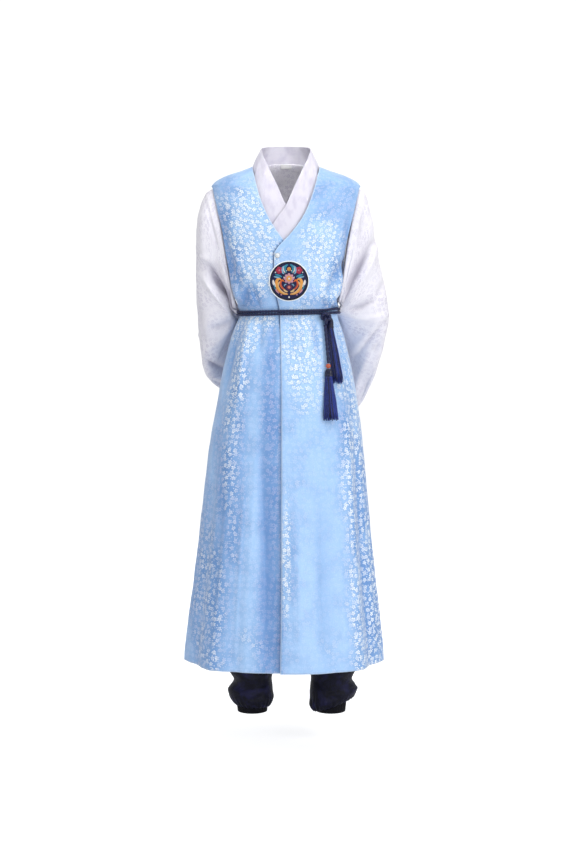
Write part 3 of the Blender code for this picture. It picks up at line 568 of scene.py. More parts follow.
def on_body(angle, height, out):
    """Points on the coat's plain form, moved out along the form's normal."""
    angle, height, out = np.broadcast_arrays(*(np.asarray(v, float) for v in (angle, height, out)))
    wide, front, back = coat_size(height)
    wide_2, front_2, back_2 = coat_size(height + 0.5)
    a = np.radians(angle)
    forward = np.cos(a) > 0
    deep = np.where(forward, front, back)
    deep_2 = np.where(forward, front_2, back_2)
    x = signed_power(np.sin(a), 2 / BODY_POWER)
    y = -signed_power(np.cos(a), 2 / BODY_POWER)
    slope = np.abs(x) ** BODY_POWER * (wide_2 - wide) / wide
    slope = slope + np.abs(y) ** BODY_POWER * (deep_2 - deep) / deep
    normal = unit(np.stack([
        signed_power(x, BODY_POWER - 1) / wide,
        signed_power(y, BODY_POWER - 1) / deep,
        -slope / 0.5,
    ], axis=-1))
    lean = smooth(SKIRT_LEAN, 1, height)
    return np.stack([wide * x + lean, deep * y, height], axis=-1) + normal * out[..., None]


def angle_at(sideways, height):
    """The angle at which the front of the form has this sideways place."""
    wide = coat_size(height)[0]
    share = np.clip((sideways - smooth(SKIRT_LEAN, 1, height)) / wide, -1.0, 1.0)
    return np.degrees(np.arcsin(signed_power(share, BODY_POWER / 2)))


def fold_depth(angle, height):
    """How far the solids' own folds move the coat's cloth out or in."""
    depth = 0.0
    for middle, half, at_hem, start in SKIRT_FOLDS:
        across = bump(turn_between(angle, middle), 0.0, half)
        depth = depth + at_hem * across * ease(height, start, HEM) ** 0.8
    for middle, half, out, level, reach in BLOUSE_FOLDS:
        depth = depth + out * bump(turn_between(angle, middle), 0.0, half) * bump(height, level, reach)
    return depth


def on_coat(angle, height, out):
    """Points on the coat with the folds that its solids have."""
    return on_body(angle, height, out + fold_depth(angle, height))


def on_front(sideways, height, out):
    """Points at these sideways places and heights that stand this far out from the coat's left front."""
    guess = np.asarray(sideways, float)
    for _ in range(8):
        points = on_coat(angle_at(guess, height), height, out)
        guess = guess + sideways - points[..., 0]
    points[..., 2] = height
    return points


def armhole_angle(height, armhole):
    """The angle of an armhole's front edge, 90 where the side or the shoulder is whole."""
    along = np.clip((height - armhole["middle"]) / armhole["half"], -1.0, 1.0)
    share = 1 - armhole["dip"] * np.sqrt(1 - along * along)
    return np.degrees(np.arcsin(share ** (BODY_POWER / 2)))


def raised(angle, height):
    """Heights near the back of the neck rise towards its middle."""
    rise = BACK_NECK_RISE * ease(np.abs(turn_between(angle, 0.0)), 122.0, 165.0)
    return height + rise * ease(height, -45.0, SHOULDER_TOP)


def on_raised_coat(angle, height, out):
    """Points on the coat's back, which rises to the neck."""
    return on_coat(angle, raised(angle, height), out)


def on_raised_body(angle, height, out):
    """Points on the plain form's back, which rises to the neck."""
    return on_body(angle, raised(angle, height), out)


def panel_heights(bottom, armhole, step):
    """Rows from the hem to the shoulder, closer at the armhole's top and bottom where its edge turns."""
    low, high = armhole["middle"] - armhole["half"], armhole["middle"] + armhole["half"]
    beside = armhole["middle"] - armhole["half"] * np.cos(np.linspace(0, math.pi, int(340 / step)))
    below = np.arange(bottom, low - step * 0.4, step)
    above = np.arange(high + step * 0.5, SHOULDER_TOP, step * 0.6)
    return np.concatenate([below, beside, above, [SHOULDER_TOP]])


def grid_normals(points, closed):
    """Unit normals of a grid of points; closed grids go round."""
    if closed:
        across = np.roll(points, -1, axis=1) - np.roll(points, 1, axis=1)
    else:
        across = np.gradient(points, axis=1)
    return unit(np.cross(across, np.gradient(points, axis=0)))


def to_path(points, path):
    """Each point's signed distance to a path of (sideways, height), and its share of the way along."""
    x, z = points[..., 0], points[..., 2]
    best = np.full(x.shape, 1e9)
    signed, along = np.zeros(x.shape), np.zeros(x.shape)
    corners = np.array(path, float)
    lengths = np.linalg.norm(np.diff(corners, axis=0), axis=1)
    before = 0.0
    for (ax, az), (bx, bz), length in zip(corners[:-1], corners[1:], lengths):
        ux, uz = (bx - ax) / length, (bz - az) / length
        run = np.clip((x - ax) * ux + (z - az) * uz, 0.0, length)
        dx, dz = x - ax - run * ux, z - az - run * uz
        apart = np.hypot(dx, dz)
        nearer = apart < best
        best = np.where(nearer, apart, best)
        signed = np.where(nearer, np.sign(dx * -uz + dz * ux) * apart, signed)
        along = np.where(nearer, (before + run) / lengths.sum(), along)
        before += length
    return signed, along


def mirrored(folds):
    """Each fold and its mirror image on the other side, but one in the middle only once."""
    pairs = []
    for path, half, depth, skew in folds:
        pairs.append((path, half, depth, skew))
        if path[0][0] != 0:
            pairs.append(([(-sideways, height) for sideways, height in path], half, depth, -skew))
    return pairs


def fold_moves(points, normals, folds, side):
    """How far a table of folds moves the points that face that side, -1 the front and 1 the back."""
    facing = ease(normals[..., 1] * side, -0.05, 0.35)
    moves = np.zeros(points.shape[:-1])
    for path, half, depth, skew in folds:
        apart, along = to_path(points, path)
        width = half * (1 + skew * np.sign(apart))
        shape = np.exp(-(np.abs(apart / width) ** 1.4))
        moves += depth * shape * np.sin(np.clip(along, 0.02, 0.98) * math.pi) ** 0.6 * facing
    return moves


def patches(points, normals, table, side):
    """How much the table's patches cover the points that face that side, 0 to 1."""
    facing = ease(normals[..., 1] * side, -0.15, 0.2)
    cover = np.zeros(points.shape[:-1])
    for x, z, half_x, half_z, strength in table:
        away = ((points[..., 0] - x) / half_x) ** 2 + ((points[..., 2] - z) / half_z) ** 2
        cover = np.maximum(cover, strength * np.exp(-(away**1.5) * 0.8))
    return np.clip(cover * facing, 0.0, 1.0)


def crumple(points, size, depth):
    """Small smooth unevenness that runs right round the cloth."""
    x, y, z = (points[..., k] / size for k in range(3))
    waves = np.sin(x * 1.7 + 2.1 * np.sin(z * 0.9)) * np.sin(z * 1.3 + 1.7 * np.sin(y * 1.1 + x * 0.7))
    waves = waves + 0.5 * np.sin(x * 3.9 + y * 2.3 + 1.3 * np.sin(z * 2.7)) * np.sin(z * 3.1 + 0.6)
    return waves * depth


def lengths_along(points, axis):
    """Arc lengths of a grid's lines from their first point."""
    steps = np.linalg.norm(np.diff(points, axis=axis), axis=-1)
    zero = np.zeros_like(np.take(steps, [0], axis=axis))
    return np.concatenate([zero, np.cumsum(steps, axis=axis)], axis=axis)


def add_mesh(name, points, faces, material):
    """A mesh object in the frame from points in millimetres."""
    mesh = bpy.data.meshes.new(name)
    mesh.from_pydata((np.asarray(points, float).reshape(-1, 3) * MM).tolist(), [], faces)
    mesh.shade_smooth()
    mesh.materials.append(material)
    made = bpy.data.objects.new(name, mesh)
    bpy.context.scene.collection.objects.link(made)
    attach(made, "root")
    return made


def grid_corners(rows, columns, closed):
    """The corners of a grid's quads as (row, column); a closed grid's last column is one past its points."""
    i, j = np.meshgrid(np.arange(rows - 1), np.arange(columns if closed else columns - 1), indexing="ij")
    corners = np.stack([i, j, i, j + 1, i + 1, j + 1, i + 1, j], -1)
    return corners.reshape(-1, 4, 2)


def rim_corners(rows, columns, closed):
    """Corners of the quads that join the outer and inner faces at the open edges: two on each face."""
    runs = []
    if closed:
        runs.append([(0, j) for j in range(columns + 1)])
        runs.append([(rows - 1, j) for j in range(columns, -1, -1)])
    else:
        ring = [(0, j) for j in range(columns)]
        ring += [(i, columns - 1) for i in range(1, rows)]
        ring += [(rows - 1, j) for j in range(columns - 2, -1, -1)]
        ring += [(i, 0) for i in range(rows - 2, -1, -1)]
        runs.append(ring)
    return np.array([(a, b) for run in runs for a, b in zip(run, run[1:])])


def give_value(made, label, values):
    """One number for each point, which a material reads by its name."""
    layer = made.data.attributes.new(label, "FLOAT", "POINT")
    layer.data.foreach_set("value", np.asarray(values, np.float32).ravel())


def give_flat(made, flat):
    """Coordinates on the flat cloth, in metres, one pair for each corner of each face."""
    layer = made.data.uv_layers.new(name="cloth")
    layer.data.foreach_set("uv", np.asarray(flat, np.float32).ravel() * MM)


def cloth(name, points, thickness, material, closed=False, values_at=None, edges=""):
    """A wall of cloth whose outer face is this grid. Its coordinates run along the cloth in metres.

    edges names the open edges that carry a row of stitches, and on the light blue satin a painted highlight:
    l and r the first and last columns, b and t the first and last rows."""
    rows, columns = points.shape[:2]
    inner = points - grid_normals(points, closed) * thickness
    round_again = np.concatenate([points, points[:, :1]], axis=1) if closed else points
    across, along = lengths_along(round_again, 1), lengths_along(round_again, 0)
    middle = columns // 2
    u = across - across[:, middle : middle + 1]
    v = np.broadcast_to(along[:, middle : middle + 1], u.shape)
    outer_corners = grid_corners(rows, columns, closed)
    rim = rim_corners(rows, columns, closed)
    rim_quads = np.stack([rim[:, 1], rim[:, 0], rim[:, 0], rim[:, 1]], 1)
    corners = np.concatenate([outer_corners, outer_corners[:, ::-1], rim_quads])
    ids = corners[..., 0] * columns + corners[..., 1] % columns
    half = rows * columns
    ids[len(outer_corners) : 2 * len(outer_corners)] += half
    ids[2 * len(outer_corners) :, 2:] += half
    both_faces = np.concatenate([points.reshape(-1, 3), inner.reshape(-1, 3)])
    made = add_mesh(name, both_faces, ids.tolist(), material)
    give_flat(made, np.stack([u, v], -1)[corners[..., 0], corners[..., 1]])
    across, along = across[:, :columns], along[:, :columns]
    from_edge = {"l": across, "r": across[:, -1:] - across, "b": along, "t": along[-1:] - along}
    apart = np.full((rows, columns), FAR_FROM_EDGE)
    for edge in edges:
        apart = np.minimum(apart, from_edge[edge])
    give_value(made, "edge", np.concatenate([apart, apart]))
    for label, values in (values_at or {}).items():
        give_value(made, label, np.concatenate([values, values]))
    near, far = slice(0, -1), slice(1, None)
    return made


# Colours as seen in soft daylight
COLOURS = {
    "satin shaded": "#6C97D0",
    "satin lit": "#A3C8F2",
    "satin shining": "#B2D4F4",
    "satin in the painted lap shadow": "#35568C",
    "satin edge highlight": "#D6E8FB",
    "flower shining": "#F0F6FC",
    "flower lit": "#B1D0F7",
    "flower shaded": "#A3B2DC",
    "white satin": "#EFEDF5",
    "white flower": "#CFCBDC",
    "white fold shade": "#9490A6",
    "collar": "#DCD9E6",
    "collar dull": "#CCC8DA",
    "label": "#FAFAFA",
    "navy cloth": "#090A1A",
    "navy cloth worn": "#1B1B3C",
    "navy cloth sheen": "#4A4E90",
    "band": "#09090C",
    "band lit": "#17171F",
    "cord dark": "#080B26",
    "cord lit": "#1C2862",
    "cord sheen": "#5060C0",
    "floss lit": "#2A3D94",
    "bead deep": "#84240E",
    "bead lit": "#CE5E2C",
    "pearl warm": "#F4F2EC",
    "pearl cool": "#C9D2DC",
    "snap rim shade": "#6F7C93",
    "snap rim lit": "#A3AFC0",
    "navy satin": "#12163A",
    "navy satin lit": "#1B204C",
    "thread outline": "#2A1A2E",
    "paper": "#E4E5E8",
    # The roundel's threads
    "gold": "#EBA54E",
    "pale_gold": "#DFBE8A",
    "orange": "#E0702F",
    "teal": "#2F8DA6",
    "sky": "#84B8D4",
    "crimson": "#B0304C",
    "rose": "#D098A6",
    "plum": "#4A2350",
    "pale": "#F1EEE9",
    "pale_rim": "#F2F7FC",
    "black": "#0A0B1C",
}


def linear(name):
    """A named colour, which is sRGB in hexadecimal, as linear red, green, blue and alpha."""
    code = COLOURS[name]
    parts = [int(code[k : k + 2], 16) / 255 for k in (1, 3, 5)]
    return (*(c / 12.92 if c <= 0.04045 else ((c + 0.055) / 1.055) ** 2.4 for c in parts), 1.0)


def put(tree, kind, settings=None, links=None, out=0):
    """Adds a node with its settings and links, and returns one of its outputs."""
    made = tree.nodes.new("ShaderNode" + kind)
    for key, value in (settings or {}).items():
        if isinstance(key, int) or key in made.inputs:
            made.inputs[key].default_value = value
        else:
            setattr(made, key, value)
    for key, source in (links or {}).items():
        tree.links.new(source, made.inputs[key])
    return made.outputs[out]


def surface(name, settings):
    """A new material with its main shader's own values set; returns it, its tree and that shader."""
    made = bpy.data.materials.new(name)
    made.use_nodes = True
    shader = made.node_tree.nodes["Principled BSDF"]
    for key, value in settings.items():
        shader.inputs[key].default_value = value
    return made, made.node_tree, shader


def dress(tree, shader, colour, height, strength, distance):
    """Gives the shader its colour and raises it by a pattern, a strength of 1 being the full distance."""
    tree.links.new(colour, shader.inputs["Base Color"])
    raised_by = put(tree, "Bump", {"Strength": strength, "Distance": distance}, {"Height": height})
    tree.links.new(raised_by, shader.inputs["Normal"])


def tinted(tree, colour, share, strength, name):
    """The colour turned towards a named one, by this share of the strength."""
    share = put(tree, "Math", {"operation": "MULTIPLY", 1: strength}, {0: share})
    return put(tree, "Mix", {"data_type": "RGBA", 7: linear(name)}, {0: share, 6: colour}, out=2)


def on_cloth(tree, millimetres):
    """Coordinates along the cloth, 1 for each so many millimetres."""
    flat = put(tree, "UVMap", {"uv_map": "cloth"})
    return put(tree, "VectorMath", {"operation": "SCALE", "Scale": 1000.0 / millimetres}, {0: flat})


def mottled(tree, millimetres, detail):
    """Uneven soft patches along the cloth, about so many millimetres across."""
    settings = {"noise_dimensions": "2D", "Scale": 1.0, "Detail": detail}
    return put(tree, "TexNoise", settings, {"Vector": on_cloth(tree, millimetres)})


def woven_flowers(tree, spacing, seed):
    """A jacquard's figure, 0 to 1, and the tight weave round it: five petals round an open heart, and buds.

    spacing is the distance from one flower to the next in millimetres. Real flowers are too fine to show at
    this distance, so these are drawn larger."""
    flat = on_cloth(tree, spacing)
    uneven = {"noise_dimensions": "2D", "Scale": 1.6, "Detail": 1.0}
    bend = put(tree, "TexNoise", uneven, {"Vector": flat}, out=1)
    moved = {"operation": "MULTIPLY_ADD", 1: (0.16, 0.16, 0.0), 2: (seed, seed, 0.0)}
    bend = put(tree, "VectorMath", moved, {0: bend})
    bent = put(tree, "VectorMath", {"operation": "ADD"}, {0: flat, 1: bend})
    cells = {"voronoi_dimensions": "2D", "Scale": 1.0, "Randomness": 0.65}
    cell = put(tree, "TexVoronoi", cells, {"Vector": bent}).node.outputs
    from_heart = put(tree, "VectorMath", {"operation": "SUBTRACT"}, {0: bent, 1: cell["Position"]})
    parts = put(tree, "SeparateXYZ", links={0: from_heart}).node.outputs
    turn = put(tree, "Math", {"operation": "ARCTAN2"}, {0: parts["Y"], 1: parts["X"]})
    own_turn = put(tree, "Math", {"operation": "MULTIPLY", 1: 6.28}, {0: cell["Color"]})
    turn = put(tree, "Math", {"operation": "MULTIPLY_ADD", 1: 2.5}, {0: turn, 2: own_turn})
    petal = put(tree, "Math", {"operation": "COSINE"}, {0: turn})
    petal = put(tree, "Math", {"operation": "ABSOLUTE"}, {0: petal})
    reach = put(tree, "Math", {"operation": "MULTIPLY_ADD", 1: 0.22, 2: 0.18}, {0: petal})
    inside = put(tree, "Math", {"operation": "SUBTRACT"}, {0: reach, 1: cell["Distance"]})
    flower = put(tree, "MapRange", {"interpolation_type": "SMOOTHSTEP", 1: 0.0, 2: 0.05}, {0: inside})
    heart = put(tree, "Math", {"operation": "SUBTRACT", 1: 0.10}, {0: cell["Distance"]})
    heart = put(tree, "Math", {"operation": "ABSOLUTE"}, {0: heart})
    heart = put(tree, "MapRange", {"interpolation_type": "SMOOTHSTEP", 1: 0.01, 2: 0.04}, {0: heart})
    flower = put(tree, "Math", {"operation": "MULTIPLY"}, {0: flower, 1: heart})
    small = {"voronoi_dimensions": "2D", "Scale": 1.9, "Randomness": 1.0}
    buds = put(tree, "TexVoronoi", small, {"Vector": bent})
    dots = {"interpolation_type": "SMOOTHSTEP", 1: 0.24, 2: 0.16, 3: 0.0, 4: 0.8}
    buds = put(tree, "MapRange", dots, {0: buds})
    figure = put(tree, "Math", {"operation": "MAXIMUM"}, {0: flower, 1: buds})
    near = put(tree, "MapRange", {"interpolation_type": "SMOOTHSTEP", 1: -0.16, 2: -0.03}, {0: inside})
    rim = put(tree, "Math", {"operation": "SUBTRACT", "use_clamp": True}, {0: near, 1: figure})
    return figure, rim


def threads_of(tree, spacing, slant=0.0):
    """Fine ridges of yarn along the cloth; real ones are finer than this spacing, which is what shows."""
    turned = {"Rotation": (0.0, 0.0, math.radians(slant))}
    turned = put(tree, "Mapping", turned, {"Vector": on_cloth(tree, spacing)})
    ridges = {"bands_direction": "X", "Scale": 0.314, "Distortion": 0.6, "Detail": 1.0}
    return put(tree, "TexWave", ridges, {"Vector": turned})


def edge_seam(tree, at, reach):
    """1 on a line this far in from a cloth's open edge, in millimetres, and 0 away from it."""
    apart = put(tree, "Attribute", {"attribute_name": "edge"}, out="Fac")
    away = put(tree, "Math", {"operation": "SUBTRACT", 1: at}, {0: apart})
    away = put(tree, "Math", {"operation": "ABSOLUTE"}, {0: away})
    return put(tree, "MapRange", {"interpolation_type": "SMOOTHSTEP", 1: reach, 2: reach * 0.3}, {0: away})


def woven_height(tree, pattern, slant, yarn, seam, reach):
    """The height of woven cloth: its pattern and its yarns stand up, and the stitches by its edge sink in."""
    weave = threads_of(tree, 0.9, slant)
    height = put(tree, "Math", {"operation": "MULTIPLY_ADD", 1: yarn}, {0: weave, 2: pattern})
    return put(tree, "Math", {"operation": "SUBTRACT"}, {0: height, 1: edge_seam(tree, seam, reach)})


@functools.cache
def sky_brocade():
    """Polyester satin jacquard in light blue: a glossy ground with matt woven flowers. The play of light on
    it is painted:
    the flowers stand out white where the satin turns from the light and sink into it where it shines, by
    painted sheen from the shine patches, and the ground is painted darker as shade by the shade patches."""
    made, tree, shader = surface("light blue satin jacquard", {
        "IOR": 1.5, "Roughness": 0.42, "Specular IOR Level": 0.45, "Sheen Weight": 0.25,
        "Sheen Roughness": 0.4,
    })
    cloudy = mottled(tree, 48.0, 4.0)
    # Painted sheen: the shine attribute paints the flowers white and the ground paler
    shine = put(tree, "Attribute", {"attribute_name": "shine"}, out="Fac")
    shine = put(tree, "Math", {"operation": "MULTIPLY_ADD", 1: 1.15}, {0: shine, 2: cloudy})
    shine = put(tree, "MapRange", {"interpolation_type": "SMOOTHSTEP", 1: 0.62, 2: 1.3}, {0: shine})
    # Painted shade: the shade attribute paints the ground darker and the flowers duller
    shade = put(tree, "Attribute", {"attribute_name": "shade"}, out="Fac")
    shade = put(tree, "Math", {"operation": "MULTIPLY_ADD", 1: 0.9}, {0: shade, 2: cloudy})
    shade = put(tree, "MapRange", {1: 0.45, 2: 1.4}, {0: shade})
    satin = {"data_type": "RGBA", 6: linear("satin lit"), 7: linear("satin shaded")}
    ground = put(tree, "Mix", satin, {0: shade}, out=2)
    unshaded = put(tree, "Math", {"operation": "SUBTRACT", 0: 1.0, "use_clamp": True}, {1: shade})
    paler = put(tree, "Math", {"operation": "MULTIPLY"}, {0: shine, 1: unshaded})
    ground = tinted(tree, ground, paler, 0.38, "satin shining")
    figure, rim = woven_flowers(tree, 15.0, 3.0)
    rim = put(tree, "Math", {"operation": "MULTIPLY"}, {0: rim, 1: shine})
    ground = tinted(tree, ground, rim, 0.55, "satin shaded")
    faint = {"data_type": "RGBA", 6: linear("flower lit"), 7: linear("flower shaded")}
    faint = put(tree, "Mix", faint, {0: shade}, out=2)
    flower = tinted(tree, faint, shine, 1.0, "flower shining")
    patchy = put(tree, "MapRange", {1: 0.3, 2: 0.6, 3: 0.55, 4: 1.0}, {0: mottled(tree, 14.0, 2.0)})
    seen = put(tree, "Math", {"operation": "MULTIPLY"}, {0: figure, 1: patchy})
    colour = put(tree, "Mix", {"data_type": "RGBA"}, {0: seen, 6: ground, 7: flower}, out=2)
    # Painted shade in the folds' valleys
    valley = put(tree, "Attribute", {"attribute_name": "valley"}, out="Fac")
    colour = tinted(tree, colour, valley, 0.55, "satin shaded")
    # Painted shadow on the under front beside the over front's edge
    lap = put(tree, "Attribute", {"attribute_name": "lap"}, out="Fac")
    colour = tinted(tree, colour, lap, 1.0, "satin in the painted lap shadow")
    # Painted highlight along the cloth's open edges
    colour = tinted(tree, colour, edge_seam(tree, 0.0, 3.0), 0.55, "satin edge highlight")
    rough = put(tree, "MapRange", {1: 0.0, 2: 1.0, 3: 0.36, 4: 0.62}, {0: figure})
    tree.links.new(rough, shader.inputs["Roughness"])
    dress(tree, shader, colour, woven_height(tree, figure, 20.0, 0.12, 5.0, 1.2), 0.35, 0.0006)
    return made


@functools.cache
def white_brocade():
    """White satin jacquard: the same weave in one colour, so its flowers are only a little duller."""
    made, tree, shader = surface("white satin jacquard", {
        "IOR": 1.5, "Roughness": 0.45, "Specular IOR Level": 0.45, "Sheen Weight": 0.3,
        "Sheen Roughness": 0.4,
    })
    figure, _ = woven_flowers(tree, 14.0, 8.0)
    strength = put(tree, "MapRange", {1: 0.35, 2: 0.7, 3: 0.15, 4: 0.8}, {0: mottled(tree, 50.0, 2.0)})
    seen = put(tree, "Math", {"operation": "MULTIPLY"}, {0: figure, 1: strength})
    whites = {"data_type": "RGBA", 6: linear("white satin"), 7: linear("white flower")}
    colour = put(tree, "Mix", whites, {0: seen}, out=2)
    # Painted shade in the folds' valleys
    valley = put(tree, "Attribute", {"attribute_name": "valley"}, out="Fac")
    colour = tinted(tree, colour, valley, 0.7, "white fold shade")
    rough = put(tree, "MapRange", {1: 0.0, 2: 1.0, 3: 0.38, 4: 0.6}, {0: figure})
    tree.links.new(rough, shader.inputs["Roughness"])
    dress(tree, shader, colour, woven_height(tree, figure, 20.0, 0.12, 4.0, 1.0), 0.3, 0.0006)
    return made


def white_satin():
    """Stiffened white satin of the collar: plain, smooth and a little glossy, with pressed edges."""
    made, tree, shader = surface("stiff white satin", {
        "IOR": 1.5, "Roughness": 0.5, "Specular IOR Level": 0.4, "Sheen Weight": 0.2,
    })
    cloudy = put(tree, "MapRange", {1: 0.45, 2: 0.75}, {0: mottled(tree, 26.0, 4.0)})
    whites = {"data_type": "RGBA", 6: linear("collar"), 7: linear("collar dull")}
    colour = put(tree, "Mix", whites, {0: cloudy}, out=2)
    dress(tree, shader, colour, woven_height(tree, cloudy, 0.0, 0.15, 2.6, 0.9), 0.3, 0.0006)
    return made


def label_tape():
    """Woven white tape, matt, with nothing on it."""
    made, tree, shader = surface("white woven tape", {
        "Base Color": linear("label"), "Roughness": 0.8, "Specular IOR Level": 0.3,
    })
    raised_by = put(tree, "Bump", {"Strength": 0.3, "Distance": 0.0003}, {"Height": threads_of(tree, 0.6)})
    tree.links.new(raised_by, shader.inputs["Normal"])
    return made


@functools.cache
def navy_satin_cloth():
    """Dark navy satin of the trousers: nearly black, with a blue sheen on its folds."""
    made, tree, shader = surface("dark navy satin", {
        "IOR": 1.5, "Roughness": 0.45, "Specular IOR Level": 0.16, "Sheen Weight": 0.05,
        "Sheen Roughness": 0.3, "Sheen Tint": linear("navy cloth sheen"),
    })
    cloudy = put(tree, "MapRange", {1: 0.5, 2: 0.72}, {0: mottled(tree, 34.0, 3.0)})
    figure, _ = woven_flowers(tree, 18.0, 5.0)
    share = put(tree, "Math", {"operation": "MULTIPLY_ADD", 1: 0.25}, {0: figure, 2: cloudy})
    navies = {"data_type": "RGBA", 6: linear("navy cloth"), 7: linear("navy cloth worn")}
    colour = put(tree, "Mix", navies, {0: share}, out=2)
    dress(tree, shader, colour, threads_of(tree, 0.9, 30.0), 0.3, 0.0004)
    return made


@functools.cache
def black_band():
    """Black elastic ribbing that gathers the trousers at the ankle."""
    made, tree, shader = surface("black ribbed band", {
        "Roughness": 0.8, "Specular IOR Level": 0.1, "Sheen Weight": 0.04,
    })
    blacks = {"data_type": "RGBA", 6: linear("band"), 7: linear("band lit")}
    colour = put(tree, "Mix", blacks, {0: mottled(tree, 5.0, 3.0)}, out=2)
    dress(tree, shader, colour, threads_of(tree, 2.0), 0.6, 0.0006)
    return made


@functools.cache
def rayon_cord():
    """Twisted rayon cord in navy: silky plies, painted lighter on their crowns as highlight and darker in the
    grooves as shade.
    """
    made, tree, shader = surface("navy twisted rayon cord", {
        "IOR": 1.5, "Roughness": 0.35, "Specular IOR Level": 0.4, "Sheen Weight": 0.03,
        "Sheen Tint": linear("cord sheen"),
    })
    # Painted highlight on the plies' crowns and painted shade in their grooves
    crown = put(tree, "Attribute", {"attribute_name": "groove"}, out="Fac")
    yarns = threads_of(tree, 0.7, 55.0)
    share = put(tree, "Math", {"operation": "MULTIPLY"}, {0: crown, 1: yarns})
    navies = {"data_type": "RGBA", 6: linear("cord dark"), 7: linear("cord lit")}
    dress(tree, shader, put(tree, "Mix", navies, {0: share}, out=2), yarns, 0.5, 0.0003)
    return made


@functools.cache
def rayon_floss():
    """Untwisted rayon yarn of the tassels: soft shine along each yarn, partly painted as lighter streaks of
    highlight, and some yarns a little lighter than others at random.
    """
    made, tree, shader = surface("navy rayon floss", {
        "IOR": 1.5, "Roughness": 0.3, "Specular IOR Level": 0.45, "Sheen Weight": 0.03,
        "Sheen Tint": linear("cord sheen"),
    })
    tone = put(tree, "Attribute", {"attribute_name": "tone"}, out="Fac")
    place = put(tree, "TexCoord", out="Object")
    lengthwise = put(tree, "Mapping", {"Scale": (900.0, 900.0, 60.0)}, {"Vector": place})
    # Lighter streaks along the yarns are painted highlight; the tone of each yarn differs at random
    fibres = put(tree, "TexNoise", {"Scale": 1.0, "Detail": 2.0}, {"Vector": lengthwise})
    share = put(tree, "Math", {"operation": "MULTIPLY_ADD", 1: 0.6}, {0: tone, 2: fibres})
    share = put(tree, "MapRange", {1: 0.55, 2: 1.0}, {0: share})
    navies = {"data_type": "RGBA", 6: linear("cord dark"), 7: linear("floss lit")}
    dress(tree, shader, put(tree, "Mix", navies, {0: share}, out=2), fibres, 0.4, 0.0004)
    return made


def swirled(name, settings, pattern, first, second):
    """A glossy material whose two colours run into each other as they do in cast resin."""
    made, tree, shader = surface(name, settings)
    swirl = put(tree, "TexNoise", pattern, {"Vector": put(tree, "TexCoord", out="Object")})
    colours = {"data_type": "RGBA", 6: linear(first), 7: linear(second)}
    tree.links.new(put(tree, "Mix", colours, {0: swirl}, out=2), shader.inputs["Base Color"])
    return made


def amber_glass():
    """Polished orange bead: deep and glossy, with a small sharp glint."""
    return swirled("polished orange bead", {
        "IOR": 1.52, "Roughness": 0.1, "Coat Weight": 0.5, "Coat Roughness": 0.05,
        "Subsurface Weight": 0.15, "Subsurface Radius": (0.004, 0.0015, 0.0006),
    }, {"Scale": 420.0, "Detail": 3.0}, "bead deep", "bead lit")


def pearl_resin():
    """Pearly resin of the snap's cap: white with a faint cool swirl under a clear gloss."""
    return swirled("pearly resin", {
        "IOR": 1.53, "Roughness": 0.2, "Coat Weight": 0.6, "Coat Roughness": 0.08,
    }, {"Scale": 260.0, "Detail": 3.0, "Distortion": 1.2}, "pearl warm", "pearl cool")


def shaded_pearl_rim():
    """The snap's pressed rim: the same resin, thin, and painted grey as shade where it meets the cloth."""
    return swirled("pearly rim with painted shade", {
        "IOR": 1.53, "Roughness": 0.3, "Coat Weight": 0.3,
    }, {"Scale": 300.0, "Detail": 2.0}, "snap rim shade", "snap rim lit")


def navy_satin():
    """Navy satin behind the embroidery, with a fine slanting weave."""
    made, tree, shader = surface("navy satin ground", {
        "IOR": 1.5, "Roughness": 0.5, "Specular IOR Level": 0.25, "Sheen Weight": 0.03,
    })
    weave = threads_of(tree, 1.1, 45.0)
    navies = {"data_type": "RGBA", 6: linear("navy satin"), 7: linear("navy satin lit")}
    dress(tree, shader, put(tree, "Mix", navies, {0: weave}, out=2), weave, 0.3, 0.0004)
    return made


def silk(thread):
    """Silk floss laid side by side across each stitched shape; its bright and dark bands are painted
    highlight and painted shade.
    """
    made, tree, shader = surface("silk floss " + thread.replace("_", " "), {
        "IOR": 1.5, "Roughness": 0.45, "Specular IOR Level": 0.3, "Sheen Weight": 0.04,
    })
    flat = put(tree, "UVMap", {"uv_map": "cloth"})
    laid = {"bands_direction": "X", "Scale": 0.22, "Distortion": 1.0, "Detail": 2.0}
    bands = put(tree, "TexWave", laid, {"Vector": flat})
    # Painted highlight and painted shade across the laid floss
    dark = put(tree, "MapRange", {1: 0.0, 2: 1.0, 3: 0.0, 4: 0.6}, {0: bands})
    base = linear(thread)
    shade = (base[0] * 0.45, base[1] * 0.4, base[2] * 0.45, 1.0)
    colour = put(tree, "Mix", {"data_type": "RGBA", 6: base, 7: shade}, {0: dark}, out=2)
    across = put(tree, "SeparateXYZ", links={0: flat}, out=1)
    across = put(tree, "Math", {"operation": "ABSOLUTE"}, {0: across})
    outline = put(tree, "MapRange", {1: 740.0, 2: 820.0}, {0: across})
    dress(tree, shader, tinted(tree, colour, outline, 1.0, "thread outline"), bands, 0.4, 0.0004)
    return made


def panel_points(heights, start_angle, end_angle, columns, place, depth, shift):
    """A grid between two edges given as angles at each height, from the hem up, anticlockwise from above."""
    height = heights[:, None]
    start, end = start_angle(height), end_angle(height)
    angle = start + (end - start) * np.linspace(0.0, 1.0, columns)
    height = np.broadcast_to(height, angle.shape)
    points = place(angle, height, depth(angle, height))
    points[..., 1] += shift
    return points


